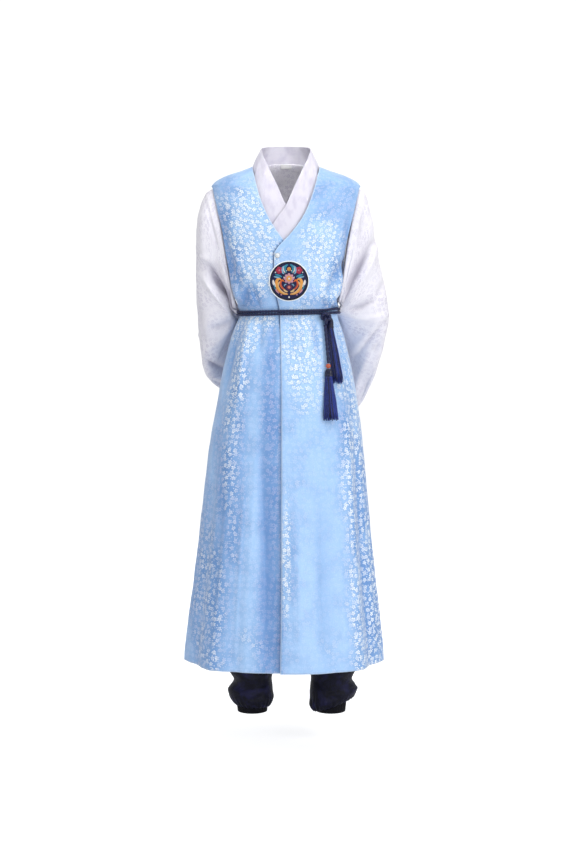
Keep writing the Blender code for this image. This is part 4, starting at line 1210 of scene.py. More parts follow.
def drawn_in(points):
    """The body's cloth with its folds, and how deep in a fold each point lies, 0 to 1, which the materials
    paint as shade.

    The coat and the jacket under it share the folds, so that neither meets the other."""
    normals = grid_normals(points, False)
    moves = fold_moves(points, normals, COAT_FRONT_FOLDS, -1)
    moves = moves + fold_moves(points, normals, mirrored(COAT_BACK_FOLDS), 1)
    moves = 1.5 * moves + crumple(points, 42.0, 0.7) * ease(points[..., 2], SHOULDER_TOP, -40.0)
    return points + normals * moves[..., None], np.clip(-moves / 8.0, 0.0, 1.0)


def coat_shine(points):
    """How much the painted sheen makes the satin's flowers show at each point, and how dark its ground is
    painted as shade.
    """
    normals = grid_normals(points, False)
    back = patches(points, normals, COAT_SHINE_BACK, 1)
    cover = np.maximum(patches(points, normals, COAT_SHINE_FRONT, -1), back)
    return cover, np.maximum(patches(points, normals, COAT_SHADE_FRONT, -1), back * 0.6)


def lap_shade(points):
    """Painted shadow: the line of shade painted on the under front, beside the edge of the front that lies
    over it.
    """
    apart = smooth(LEFT_FRONT_EDGE, 1, points[..., 2]) - points[..., 0]
    near = np.where(apart < 0, 1.0, np.exp(-((apart / 3.2) ** 2)))
    level = points[..., 2]
    return near * ease(level, -178.0, -190.0) * (0.05 + 0.95 * ease(level, -430.0, -385.0))


def edge_place(height, side):
    """Sideways place of the edge of the coat's left or right front."""
    return smooth(LEFT_FRONT_EDGE if side > 0 else RIGHT_FRONT_EDGE, 1, height)


def front_edge(height, side):
    """The angle of the edge of the coat's left or right front."""
    return angle_at(edge_place(height, side), height)


def panel_edges(armhole, front_edge_at):
    """First and last edge of the left front, the right front and the back, anticlockwise from above."""
    return (
        (lambda z: front_edge_at(z, 1), lambda z: armhole_angle(z, armhole)),
        (lambda z: -armhole_angle(z, armhole), lambda z: front_edge_at(z, -1)),
        (lambda z: 180.0 - armhole_angle(z, armhole), lambda z: 180.0 + armhole_angle(z, armhole)),
    )


def coat():
    """The coat's three panels, of which the left front laps over the right."""
    heights = panel_heights(HEM, COAT_ARMHOLE, CLOTH_STEP)
    parts = (
        # name, columns, place, depth, shift, edges with stitches, node
        ("coat_left", 96, on_coat, no_depth, -SEAM_HALF_GAP, "lb", "coat_front_left"),
        ("coat_right", 104, on_coat, under_depth, -SEAM_HALF_GAP, "rb", "coat_front_right"),
        ("coat_back_cloth", 150, on_raised_coat, no_depth, SEAM_HALF_GAP, "b", "coat_back"),
    )
    all_edges = panel_edges(COAT_ARMHOLE, front_edge)
    for (start, end), (name, columns, place, depth, shift, edges, node) in zip(all_edges, parts):
        points = panel_points(heights, start, end, columns, place, depth, shift)
        points[..., 2] -= HEM_DIP * ease(points[..., 2], -1000.0, HEM) * ease(points[..., 1], -60.0, -190.0)
        shine, shade = coat_shine(points)
        points, valley = drawn_in(points)
        values_at = {"shine": shine, "shade": shade, "valley": valley}
        if node == "coat_front_right":
            values_at["lap"] = lap_shade(points)
        made = cloth(name, points, COAT_WALL, sky_brocade(), values_at=values_at, edges=edges)
        stand_for(made, "sky_brocade", node)


def no_depth(angle, height):
    """The place of cloth that lies on the form itself."""
    return 0.0 * angle


def under_depth(angle, height):
    """The under front's place inside the over front, none towards its own side seam."""
    return -smooth(UNDER_FRONT_SINK, 1, height) * ease(angle, UNDER_FRONT_NONE, UNDER_FRONT_FULL)


def stand_for(made, slot, *nodes):
    """Hides the solids that a piece takes the place of; the material slot that it names is not used."""
    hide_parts(*nodes)


def jacket_depth(angle, height):
    """The jacket lies inside both fronts of the coat, so it is deeper near the middle."""
    sink = (COAT_WALL + LAP_GAP) * (1 - ease(np.abs(turn_between(angle, 0.0)), 42.0, 66.0))
    return -(COAT_WALL + LAYER_GAP) - sink - smooth(JACKET_EASE, 1, height)


def jacket_under_depth(angle, height):
    """The jacket's right front lies inside its left one where they cross."""
    return jacket_depth(angle, height) - JACKET_LAP * ease(angle, -62.0, -34.0)


def collar_line(height, side):
    """Sideways place of the collar's seam on the front, just inside the coat's edge."""
    return edge_place(height, side) + side * COLLAR_UNDER_COAT * ease(height, -12.0, -45.0)


def jacket_front_edge(height, side):
    """Below the collar's end the two fronts of the jacket cross, left over right."""
    cross = -side * JACKET_LAP_EDGE
    by_collar = collar_line(height, side) + side * (2.0 + 2.0 * ease(height, -46.0, -20.0))
    place = by_collar + (cross - by_collar) * ease(height, -229.0, -262.0)
    return angle_at(place, height)


def jacket():
    """The jacket's body, which lies inside the coat and is the same cloth as its sleeves."""
    heights = panel_heights(JACKET_HEM, JACKET_ARMHOLE, CLOTH_STEP * 1.8)
    parts = (
        # name, columns, place, depth, shift, node
        ("jacket_left", 34, on_body, jacket_depth, -SEAM_HALF_GAP, "jacket_front_left"),
        ("jacket_right", 34, on_body, jacket_under_depth, -SEAM_HALF_GAP, "jacket_front_right"),
        ("jacket_back_cloth", 70, on_raised_body, jacket_depth, SEAM_HALF_GAP, "jacket_back"),
    )
    all_edges = panel_edges(JACKET_ARMHOLE, jacket_front_edge)
    for (start, end), (name, columns, place, depth, shift, node) in zip(all_edges, parts):
        points, _ = drawn_in(panel_points(heights, start, end, columns, place, depth, shift))
        stand_for(cloth(name, points, JACKET_WALL, white_brocade(), edges="b"), "white_brocade", node)


def collar_side(places, side):
    """The seam edge and the free edge of the collar band on one side of the neck."""
    free = np.stack([smooth(COLLAR_FREE_EDGE, column, places) for column in (1, 2, 3)], -1)
    free[:, 0] *= side
    if side < 0:
        free[:, 1] += (JACKET_LAP + 0.6) * ease(places, 4.5, 6.6)
    round_neck, level = (smooth(COLLAR_SEAM_EDGE, column, places) for column in (1, 2))
    sewn_on = ease(places, 3.0, 2.4)
    level = level + 0.5 + (raised(round_neck, SHOULDER_TOP - 1.5) - level - 0.5) * sewn_on
    by_neck = on_body(round_neck, level, 0.8 * sewn_on - (COAT_WALL + LAYER_GAP))
    by_neck[:, 0] *= side
    height = smooth(COLLAR_FRONT_HEIGHTS, 1, places)
    angle = angle_at(collar_line(height, side), height)
    depth = jacket_depth if side > 0 else jacket_under_depth
    down_front = on_body(angle, height, depth(angle, height))
    down_front[:, 1] -= SEAM_HALF_GAP
    return np.where((places <= 3.0)[:, None], by_neck, down_front), free


def collar():
    """One stiff band from the wearer's right front, round the neck, to the left front on top."""
    places = np.linspace(9.0, 0.0, 130)
    right_seam, right_free = collar_side(places, -1)
    left_seam, left_free = collar_side(places[:-1][::-1], 1)
    seam = np.concatenate([right_seam, left_seam])[:, None]
    free = np.concatenate([right_free, left_free])[:, None]
    share = np.linspace(0.0, 1.0, 26)[None, :, None]
    points = seam + (free - seam) * share
    normals = grid_normals(points, False)
    along = np.linspace(-9.0, 9.0, points.shape[0])[:, None]
    crown = 1.4 * np.sin(np.pi * share[..., 0]) ** 0.7
    ripple = 0.9 * np.sin(along * 2.1) * np.sin(np.pi * share[..., 0])
    ripple = ripple + 0.5 * np.sin(along * 5.3 + share[..., 0] * 3)
    points = points + normals * (crown + ripple * 0.8)[..., None]
    stand_for(cloth("collar", points, COLLAR_WALL, white_satin(), edges="lr"), "white_collar", "collar_band")


def neck_label():
    """A blank label inside the back of the neck, sewn on below the collar."""
    depth = -(COAT_WALL + LAYER_GAP + JACKET_WALL + 0.9)
    heights = np.linspace(LABEL["bottom"], LABEL["top"], 10)
    turn = LABEL["half_turn"]
    points = panel_points(
        heights, lambda z: 180.0 - turn + 0 * z, lambda z: 180.0 + turn + 0 * z, 20, on_body,
        lambda t, z: depth + 0 * t, 0.0,
    )
    stand_for(cloth("label", points, LABEL["thick"], label_tape(), edges="lrbt"), "label_tape", "neck_label")


def armhole_ring(side, armhole, depth, inset, turn):
    """Points round an armhole, moved in from its edge along the body: top, front, bottom, back."""
    edge = armhole_angle(armhole["middle"] + armhole["half"] * np.cos(turn), armhole)
    edge = edge + np.degrees(inset / coat_size(armhole["middle"])[1]) * np.abs(np.sin(turn))
    height = armhole["middle"] + (armhole["half"] - inset) * np.cos(turn)
    ring = on_body(np.where(np.sin(turn) >= 0, edge, 180.0 - edge), height, depth)
    ring[:, 0] *= side
    return ring


def sleeve_points(rows, side):
    """A sleeve's rings from the jacket's armhole, out of the coat's, to the elbow and behind the back."""
    table = [(float(k), *row) for k, row in enumerate(rows)]
    last = len(rows) - 1
    turn = np.linspace(0.0, 2 * math.pi, SLEEVE_FINE_SIDES, endpoint=False)

    def middle_at(place):
        """The middle of the ring at this place along the sleeve."""
        place = np.clip(place, 0.0, last)
        return np.stack([smooth(table, c, place) + smooth(table, c + 3, place) for c in (1, 2, 3)], -1) / 2

    place = np.linspace(0.0, last, SLEEVE_FINE_RINGS)
    outer = np.stack([smooth(table, c, place) for c in (1, 2, 3)], -1)
    inner = np.stack([smooth(table, c, place) for c in (4, 5, 6)], -1)
    half, thinner = smooth(table, 7, place), smooth(table, 8, place)
    along = (outer - inner) / 2
    path = middle_at(place + 0.5) - middle_at(place - 0.5)
    turned = ease(place, 4.5, 8.0)[:, None]
    across = np.array([0.0, -1.0, 0.0]) * (1 - turned) + unit(np.cross(path, along)) * turned
    across = across - along * (np.sum(across * along, -1) / np.sum(along * along, -1))[:, None]
    across = unit(across)
    thick = half[:, None] * (1.0 - thinner[:, None] * (0.5 + 0.5 * np.cos(turn)))
    long_way = signed_power(np.cos(turn), 2 / SLEEVE_POWER)[:, None]
    rings = ((outer + inner) / 2)[:, None] + along[:, None] * long_way
    rings = rings + across[:, None] * (signed_power(np.sin(turn), 2 / SLEEVE_POWER) * thick)[..., None]
    rings[..., 0] *= side
    start = armhole_ring(side, JACKET_ARMHOLE, -(COAT_WALL + LAYER_GAP), 2.5, turn)
    mouth = armhole_ring(side, COAT_ARMHOLE, -COAT_WALL / 2, 7.0, turn)
    first = [start + (mouth - start) * share for share in (0.0, 0.5)]
    first += [mouth + (rings[0] - mouth) * share for share in (0.0, 0.25, 0.5, 0.75)]
    rings = np.concatenate([np.array(first), rings])
    rings = np.roll(rings, -(SLEEVE_FINE_SIDES // 2), axis=1)
    return rings if side > 0 else rings[:, ::-1]


def sleeve(name, rows, side, folds, node):
    """One sleeve with its folds, deepest where the elbow bends."""
    points = sleeve_points(rows, side)
    normals = grid_normals(points, True)
    free = ease(np.arange(len(points)), 5, 16)[:, None]
    on_left = points * np.array([side, 1.0, 1.0])
    moves = fold_moves(points, normals, folds, -1)
    moves = moves + fold_moves(on_left, normals, SLEEVE_BACK_FOLDS, 1)
    moves = 1.5 * moves + crumple(points, 34.0, 1.0)
    points = points + normals * (moves * free)[..., None]
    # How deep each point lies in a fold, which the material paints as shade
    values_at = {"valley": np.clip(-moves * free / 15.0, 0.0, 1.0) ** 1.3}
    made = cloth(name, points, JACKET_WALL, white_brocade(), closed=True, values_at=values_at, edges="t")
    stand_for(made, "white_brocade", node)


def leg_points(side):
    """A leg's rings from its low hem up, open at the fork's seam, and the sideways place of its axis."""
    creased = np.arange(LEG_BOTTOM, -1180.0, 3.0)
    heights = np.concatenate([creased, np.arange(-1180.0, TROUSER_TOP, 8.0), [TROUSER_TOP]])
    middle, back, half_width, half_depth = (smooth(LEFT_LEG, c, heights)[:, None] for c in (1, 2, 3, 4))
    inner = middle - SEAM_HALF_GAP
    by_seam = np.arccos(np.clip(inner / half_width, -1, 1))
    first = np.where(inner < half_width, by_seam, SEAM_HALF_GAP / half_depth)
    t = first + (2 * math.pi - 2 * first) * np.linspace(0.0, 1.0, 110)
    shift = RIGHT_LEG_SHIFT * ease(heights, -700.0, -1225.0)[:, None] * (side < 0)
    outward = np.clip(-np.cos(t), 0.0, 1.0) * smooth(LEG_EDGE, 1 if side > 0 else 2, heights)[:, None]
    x = side * (middle - half_width * np.cos(t) + outward) + shift
    axis = side * middle + shift
    tilt = (0.34 if side > 0 else -0.02) * (x - axis) * ease(heights, -1285.0, -1340.0)[:, None]
    points = np.stack([x, back - half_depth * np.sin(t), heights[:, None] + tilt], -1)
    return (points, axis) if side > 0 else (points[:, ::-1], axis)


def trouser_leg(name, side, node):
    """One leg, creased towards the ankle and gathered into its band."""
    points, axis = leg_points(side)
    normals = grid_normals(points, False)
    about_axis = points.copy()
    about_axis[..., 0] -= axis
    if side < 0:
        about_axis[..., 0] *= -1
    moves = fold_moves(about_axis, normals, TROUSER_FOLDS, -1)
    moves = moves + fold_moves(about_axis, normals, TROUSER_FOLDS, 1)
    low = ease(points[..., 2], -1366.0, -1340.0)
    moves = moves * low + crumple(points, 30.0, 1.1) * low * ease(points[..., 2], -700.0, -1000.0)
    round_leg = np.linspace(0.0, 1.0, points.shape[1]) * 2 * math.pi
    gathers = 1.3 * np.sin(round_leg * LEG_GATHERS) * (1 - ease(points[..., 2], LEG_BOTTOM, -1322.0))
    points = points + normals * (moves - 1.3 + gathers)[..., None]
    made = cloth(name, points, TROUSER_WALL, navy_satin_cloth())
    stand_for(made, "navy_cloth", node)


def waist_band():
    """The band at the top of the trousers, inside the coat's waist."""
    turn = np.arange(0.0, 360.0, 2.0)
    rings = []
    for share in np.linspace(0.0, 1.0, 14):
        ring = on_body(turn, BELT, -WAISTBAND["inside_coat"] - 4.0 * (1 - share))
        ring[:, 2] = WAISTBAND["bottom"] + (WAISTBAND["top"] - WAISTBAND["bottom"]) * share
        rings.append(ring)
    made = cloth(
        "waistband", np.array(rings), WAISTBAND["wall"], navy_satin_cloth(), closed=True, edges="bt",
    )
    stand_for(made, "navy_cloth", "trouser_waistband")


def ankle_band(name, side, node):
    """The ribbed band that closes a leg at the ankle."""
    middle = smooth(LEFT_LEG, 1, ANKLE_BAND["top"]) * side + RIGHT_LEG_SHIFT * (side < 0)
    back = smooth(LEFT_LEG, 2, ANKLE_BAND["top"])
    turn = np.linspace(0.0, 2 * math.pi, 120, endpoint=False)
    rings = []
    for share in np.linspace(0.0, 1.0, 24):
        height = ANKLE_BAND["bottom"] + (ANKLE_BAND["top"] - ANKLE_BAND["bottom"]) * share
        squeeze = 1.0 - 0.03 * math.cos(share * math.pi)
        ribs = 0.9 * np.sin(turn * 34 + 1.2 * np.sin(turn * 5)) * math.sin(share * math.pi) ** 0.5
        x = middle + (ANKLE_BAND["half_width"] * squeeze - 0.8 + ribs) * np.sin(turn)
        y = back - (ANKLE_BAND["half_depth"] * squeeze - 0.8 + ribs) * np.cos(turn)
        rings.append(np.stack([x, y, np.full_like(x, height)], -1))
    made = cloth(name, np.array(rings), ANKLE_BAND["wall"], black_band(), closed=True)
    stand_for(made, "navy_cloth", node)


def frames_along(path, closed):
    """Two directions across a path at each of its points, which don't twist along it."""
    ahead = np.roll(path, -1, axis=0) - np.roll(path, 1, axis=0)
    if not closed:
        ahead[0], ahead[-1] = path[1] - path[0], path[-1] - path[-2]
    ahead = unit(ahead)
    side = np.cross(ahead[0], (0.0, 0.0, 1.0))
    if np.linalg.norm(side) < 0.1:
        side = np.cross(ahead[0], (0.0, 1.0, 0.0))
    sides = [unit(side)]
    for direction in ahead[1:]:
        side = sides[-1] - direction * np.dot(sides[-1], direction)
        sides.append(unit(side))
    sides = np.array(sides)
    return sides, np.cross(ahead, sides)


def evenly(path, count, closed):
    """The path again with this many points, evenly apart along it, and its length."""
    loop = np.concatenate([path, path[:1]]) if closed else path
    run = np.concatenate([[0.0], np.cumsum(np.linalg.norm(np.diff(loop, axis=0), axis=1))])
    at = np.linspace(0.0, run[-1], count, endpoint=not closed)
    return np.stack([np.interp(at, run, loop[:, k]) for k in range(3)], -1), run[-1]


def tube_faces(rows, columns, closed=False):
    """The faces of a tube of rings and its quads' corners; the ends are capped unless it is a closed loop."""
    corners = grid_corners(rows + closed, columns, True)
    faces = ((corners[..., 0] % rows) * columns + corners[..., 1] % columns).tolist()
    if not closed:
        last = (rows - 1) * columns
        faces += [list(range(columns))[::-1], list(range(last, last + columns))]
    return faces, corners


def rope(name, path, diameter, pitch, material, closed=False):
    """A laid cord: its two plies are ridges that wind round it once in each pitch."""
    rings = max(24, int(sum_length(path, closed) / ROPE_STEP))
    path, length = evenly(np.asarray(path, float), rings, closed)
    sides, ups = frames_along(path, closed)
    turns = max(1, round(length / pitch))
    turn = np.linspace(0.0, 2 * math.pi, ROPE_SIDES, endpoint=False)
    share = np.linspace(0.0, 1.0, len(path), endpoint=not closed)[:, None]
    wound = turn - 2 * math.pi * turns * share
    radius = diameter / 2 * (0.74 + 0.26 * np.abs(np.cos(wound)) ** 0.6)
    around = sides[:, None] * np.cos(turn)[:, None] + ups[:, None] * np.sin(turn)[:, None]
    points = path[:, None] + around * radius[..., None]
    rows, columns = points.shape[:2]
    faces, corners = tube_faces(rows, columns, closed)
    made = add_mesh(name, points, faces, material)
    flat = np.stack([corners[..., 1] / columns * diameter * 3.14, corners[..., 0] / rows * length], -1)
    flat = flat.reshape(-1, 2)
    if not closed:
        flat = np.concatenate([flat, np.zeros((2 * columns, 2))])
    give_flat(made, flat)
    # Where the plies crown and where they groove, which the cord's material paints as highlight and shade
    give_value(made, "groove", np.abs(np.cos(wound)))
    mesh_out(made)
    return made, path


def sum_length(path, closed):
    """A path's whole length."""
    loop = np.asarray(path, float)
    loop = np.concatenate([loop, loop[:1]]) if closed else loop
    return np.linalg.norm(np.diff(loop, axis=0), axis=1).sum()


def mesh_out(made):
    """Turns a closed mesh's faces outwards."""
    bm = bmesh.new()
    bm.from_mesh(made.data)
    if bm.calc_volume(signed=True) < 0:
        bmesh.ops.reverse_faces(bm, faces=bm.faces)
    bm.to_mesh(made.data)
    bm.free()


def belt():
    """Two strands round the waist that part just before the knot."""
    for name, level, rise, opening in BELT_STRANDS:
        angle = np.arange(0.0, 360.0, 3.0)
        points = on_body(angle, BELT, CORD / 2 + 1.5)
        points[:, 2] = level + rise * np.sin(np.radians(angle)) + opening * bump(angle, 68.0, 30.0)
        made, _ = rope(name + "_laid", points, CORD * 1.04, 15.0, rayon_cord(), closed=True)
        stand_for(made, "navy_cord", name)


def knot():
    """The cord passes over and through itself once, drawn tight."""
    half = KNOT["half"]
    centre = on_front(KNOT["x"], KNOT["z"], CORD + half[1] + KNOT["clear"])
    t = np.linspace(0.0, 2 * math.pi, 120, endpoint=False)
    aside = (np.sin(t) + 2 * np.sin(2 * t)) / 3 * (half[0] - 2.6)
    deep = -np.sin(3 * t) * (half[1] - 2.4)
    up = (np.cos(t) - 2 * np.cos(2 * t)) / 3 * (half[2] - 2.6)
    turn = math.radians(float(angle_at(KNOT["x"], KNOT["z"])))
    x = centre[0] + aside * math.cos(turn) - deep * math.sin(turn)
    y = centre[1] + aside * math.sin(turn) + deep * math.cos(turn)
    made, _ = rope("knot_laid", np.stack([x, y, centre[2] + up], -1), 8.4, 16.0, rayon_cord(), closed=True)
    stand_for(made, "navy_cord", "belt_knot")


def lathe(name, profile, centre, axis, material, squash=1.0):
    """A turned form: profile rows are (along the axis, radius); squash narrows it across the second way."""
    axis = unit(np.array(axis, float))
    first = unit(np.array([1.0, 0.0, 0.0]) - axis * axis[0])
    second = np.cross(axis, first) * squash
    turn = np.linspace(0.0, 2 * math.pi, LATHE_SIDES, endpoint=False)
    around = first * np.cos(turn)[:, None] + second * np.sin(turn)[:, None]
    rings = np.array([np.asarray(centre) + axis * along + around * radius for along, radius in profile])
    made = add_mesh(name, rings, tube_faces(len(profile), LATHE_SIDES)[0], material)
    mesh_out(made)
    return made


def strands(name, roots, tips, steps, radii, material, sway, seed):
    """Thin four-sided yarns, each from its root to its tip with a slight wave, in one mesh."""
    chance = np.random.default_rng(seed)
    share = np.linspace(0.0, 1.0, steps)
    points, faces, tones = [], [], []
    yarn_faces, _ = tube_faces(steps, 4)
    for number, (root, tip) in enumerate(zip(roots, tips)):
        phase, height = chance.uniform(0, 6.28, 2), chance.uniform(0.4, 1.0, 2)
        line = root + (tip - root) * share[:, None]
        wave = sway * share * (1 - 0.3 * share)
        line[:, 0] += wave * height[0] * np.sin(share * 7.0 + phase[0])
        line[:, 1] += wave * 0.5 * height[1] * np.sin(share * 6.0 + phase[1])
        turn = np.arange(4) * math.pi / 2 + phase[0]
        radius = np.interp(share, (0.0, 0.5, 0.93, 1.0), radii)[:, None, None]
        ring = np.stack([np.cos(turn), np.sin(turn), 0 * turn], -1)[None] * radius
        start = 4 * steps * number
        points.append((line[:, None] + ring).reshape(-1, 3))
        faces += [[start + k for k in face] for face in yarn_faces]
        tones.append(np.full(4 * steps, chance.uniform(0.0, 1.0)))
    made = add_mesh(name, np.concatenate(points), faces, material)
    mesh_out(made)
    give_value(made, "tone", np.concatenate(tones))
    return made


def tassel(name, sizes, count, seed, node):
    """A bound head and the yarns that hang from it."""
    top = on_front(sizes["x"], sizes["top"], sizes["out"])
    neck = on_front(sizes["x"], sizes["neck"], sizes["out"])
    tip = on_front(sizes["tip_x"], sizes["tip"], sizes["tip_out"])
    down = unit(tip - neck)
    across = unit(np.array([1.0, 0.0, 0.0]) - down * down[0])
    deep = np.cross(across, down)
    length = np.linalg.norm(neck - top)
    head = sizes["head"]
    profile = []
    for share, wide in (
        (0.0, 0.30), (0.03, 0.50), (0.10, 0.66), (0.25, 0.84), (0.45, 0.95), (0.62, 0.98), (0.70, 0.92),
        (0.72, 0.99), (0.76, 1.04), (0.80, 0.97), (0.83, 1.04), (0.87, 0.97), (0.90, 1.04), (0.94, 0.97),
        (0.96, 0.92), (1.0, 0.90),
    ):
        profile.append((share * length, wide * head))
    bound = lathe(name + "_head", profile, top, neck - top, rayon_floss(), squash=TASSEL_FLATNESS)
    stand_for(bound, "navy_cord", node)
    number = np.arange(count) + 0.5
    reach = np.sqrt(number / count)
    turn = number * GOLDEN_ANGLE
    chance = np.random.default_rng(seed)
    ends = chance.uniform(0.88, 1.0, count)[:, None]
    flat_x, flat_y = (reach * np.cos(turn))[:, None], (reach * np.sin(turn) * TASSEL_FLATNESS)[:, None]
    roots = neck - down * 3.0 + across * flat_x * head * 0.86 + deep * flat_y * head * 0.86
    tips = neck + (tip - neck) * ends + across * flat_x * sizes["spread"] + deep * flat_y * sizes["spread"]
    radii = (0.75, 1.15, 1.25, 0.7)
    made = strands(name + "_yarns", roots, tips, 12, radii, rayon_floss(), 1.3, seed)
    return bound, made


def belt_ends():
    """The knot, the end cord with its bead, and both tassels."""
    knot()
    share = np.linspace(0.0, 1.0, 11)
    height = END_CORD["top"] + (END_CORD["bottom"] - END_CORD["top"]) * share
    path = on_front(END_CORD["x"] + END_CORD["drift"] * share, height, END_CORD["out"])
    cord, line = rope("end_cord", path, END_CORD["across"], 24.0, rayon_cord())
    stand_for(cord, "navy_cord", "belt_end_cord")
    radius = BEAD["radius"]
    profile = [(-radius * math.cos(t), radius * math.sin(t)) for t in np.linspace(0.42, math.pi - 0.42, 21)]
    place = on_front(BEAD["x"], BEAD["z"], END_CORD["out"])
    bead = lathe("bead", profile, place, (0.0, 0.0, 1.0), amber_glass())
    stand_for(bead, "amber_bead", "belt_bead")
    head, yarns = tassel("long_tassel", LONG_TASSEL, 130, 5, "tassel_long")
    tassel("short_tassel", SHORT_TASSEL, 115, 11, "tassel_short")


def snap():
    """A pearly cap with a rolled rim."""
    place = on_front(BUTTON["x"], BUTTON["z"], 0.3)
    ahead = on_front(BUTTON["x"], BUTTON["z"], 1.3) - place
    r, h = BUTTON["radius"], BUTTON["thick"]
    profile = (
        (0.0, r * 0.9), (h * 0.2, r), (h * 0.45, r * 0.98), (h * 0.55, r * 0.88), (h * 0.5, r * 0.78),
        (h * 0.62, r * 0.7), (h * 0.82, r * 0.52), (h * 0.95, r * 0.28), (h, r * 0.06),
    )
    stand_for(lathe("snap_cap", profile, place, ahead, pearl_resin()), "pearl_snap", "coat_snap")
    rim = ((0.0, r * 1.02), (h * 0.12, r * 1.18), (h * 0.26, r * 1.16), (h * 0.34, r * 1.0))
    # The grey rim paints shade round the cap's edge
    lathe("snap_rim", rim, place, ahead, shaded_pearl_rim())


# The roundel's stitched shapes, a plain cloud and flower design that is the same on both sides: places are
# (right, up) from its middle, and each row but those in the middle is stitched again on the left
SCROLLS = (
    # thread, half width at the middle, height, path
    ("gold", 3.9, 1.5, ((2, -32), (12, -30), (22, -24), (29, -13), (30, -1), (25, 6), (19, 2))),
    ("pale_gold", 1.4, 2.2, ((5, -31), (14, -28), (22, -20), (27, -10))),
    ("orange", 2.5, 1.5, ((9, -22), (17, -16), (21, -7), (17, 2), (11, -2))),
    ("crimson", 0.9, 2.0, ((10, -22), (17, -15), (20, -7), (17, 0))),
    ("sky", 1.3, 1.5, ((6, -7), (10, -9), (12, -13))),
    ("teal", 1.6, 1.5, ((31, -22), (35, -16), (36, -8))),
    ("pale_gold", 2.3, 1.5, ((3, -26), (9, -24), (14, -18))),
    ("pale_gold", 2.0, 1.4, ((22, -1), (26, -7), (26, -14))),
    ("teal", 2.9, 1.4, ((6, 20), (10, 28), (8, 36), (2, 40))),
    ("sky", 2.3, 1.4, ((12, 17), (16, 22), (16, 31), (11, 37))),
    ("pale", 1.2, 1.6, ((9, 19), (13, 26), (13, 33))),
    ("teal", 2.6, 1.4, ((17, 10), (25, 13), (34, 16))),
    ("sky", 1.9, 1.5, ((22, 7), (29, 9), (37, 11))),
    ("pale", 3.0, 1.4, ((39, 3), (37, -6), (32, -14))),
    ("rose", 1.8, 1.5, ((33, -18), (30, -24), (24, -30))),
)
BLOSSOMS = (
    # right, up, radius, petals, first angle, petal thread, heart thread
    (23.5, 26.0, 9.0, 5, 20.0, "crimson", "rose"),
    (0.0, 6.0, 13.0, 8, 0.0, "rose", "pale"),
    (0.0, 6.0, 8.0, 8, 22.5, "gold", "orange"),
    (0.0, -15.0, 9.0, 6, 0.0, "plum", "rose"),
    (0.0, -15.0, 5.0, 6, 30.0, "orange", "pale_gold"),
    (0.0, 29.0, 5.0, 6, 0.0, "gold", "crimson"),
)
KNOTS = (
    # right, up, radius, thread
    (33.0, 21.0, 1.6, "pale"),
    (19.0, -33.0, 1.9, "rose"),
    (36.0, -10.0, 1.4, "teal"),
    (12.0, 9.0, 1.6, "pale"),
    (0.0, -39.0, 2.2, "pale"),
    (6.0, 25.0, 1.3, "pale"),
)


def both_sides(right):
    """1 and -1 for a shape that is stitched on both sides, and 1 for one in the middle."""
    return (1, -1) if right > 0.5 else (1,)


def curve_through(path, count):
    """A smooth line through the points of a path, evenly stepped."""
    corners = np.array(path, float)
    ends = np.concatenate([[2 * corners[0] - corners[1]], corners, [2 * corners[-1] - corners[-2]]])
    at = np.linspace(0.0, len(corners) - 1.0, count)
    k = np.minimum(at.astype(int), len(corners) - 2)
    t = (at - k)[:, None]
    a, b, c, d = ends[k], ends[k + 1], ends[k + 2], ends[k + 3]
    return 0.5 * (2 * b + (c - a) * t + (2 * a - 5 * b + 4 * c - d) * t**2 + (3 * b - a - 3 * c + d) * t**3)


def stitched_shape(line, widths, height):
    """A padded satin stitch shape along a line: its points from the middle of the roundel, and its quads."""
    ahead = unit(np.gradient(line, axis=0))
    across = np.stack([-ahead[:, 1], ahead[:, 0]], -1)
    turn = np.linspace(-1.0, 1.0, 9)
    flat = line[:, None] + across[:, None] * (turn[None, :, None] * widths[:, None, None])
    rise = height * np.sqrt(np.clip(1.0 - turn**2, 0.0, 1.0)) * (widths / widths.max())[:, None] ** 0.5
    stitches = np.stack(np.broadcast_arrays(np.arange(len(line))[:, None], turn), -1)
    return flat, rise, stitches


def roundel_shapes():
    """Every stitched shape of the design, gathered by thread."""
    shapes = {}
    for thread, half, height, path in SCROLLS:
        for side in (1, -1):
            line = curve_through([(side * right, up) for right, up in path], 46)
            share = np.linspace(0.0, 1.0, len(line))
            widths = half * np.clip(np.sin(share * math.pi), 0.0, 1.0) ** 0.45 + 0.12
            shapes.setdefault(thread, []).append(stitched_shape(line, widths, height))
    for right, up, radius, petals, first, thread, heart in BLOSSOMS:
        for side in both_sides(right):
            for k in range(petals):
                angle = side * math.radians(first + 360.0 * k / petals)
                share = np.linspace(0.16, 1.0, 16)
                ahead = (math.sin(angle), math.cos(angle))
                line = np.array([side * right, up]) + np.outer(share * radius, ahead)
                fullness = np.sin(np.clip(share - 0.1, 0.0, 1.0) / 0.95 * math.pi) ** 0.7
                widths = radius * math.sin(math.pi / petals) * 0.80 * fullness + 0.12
                height = 2.3 if thread == "gold" else 1.3
                shapes.setdefault(thread, []).append(stitched_shape(line, widths, height))
            shapes.setdefault(heart, []).append(dome_shape(side * right, up, radius * 0.24, 2.4))
    for right, up, radius, thread in KNOTS:
        for side in both_sides(right):
            shapes.setdefault(thread, []).append(dome_shape(side * right, up, radius, 1.9))
    return shapes


def dome_shape(right, up, radius, height):
    """A small round knot of thread."""
    line = np.stack([np.full(12, right), np.linspace(up - radius, up + radius, 12)], -1)
    share = np.linspace(-1.0, 1.0, 12)
    return stitched_shape(line, radius * np.sqrt(np.clip(1 - share**2, 0, 1)) + 0.06, height)


def on_roundel(right, up, out):
    """Points this far from the roundel's middle and out from the coat's left front."""
    return on_front(ROUNDEL["x"] + right, ROUNDEL["z"] + up, out)


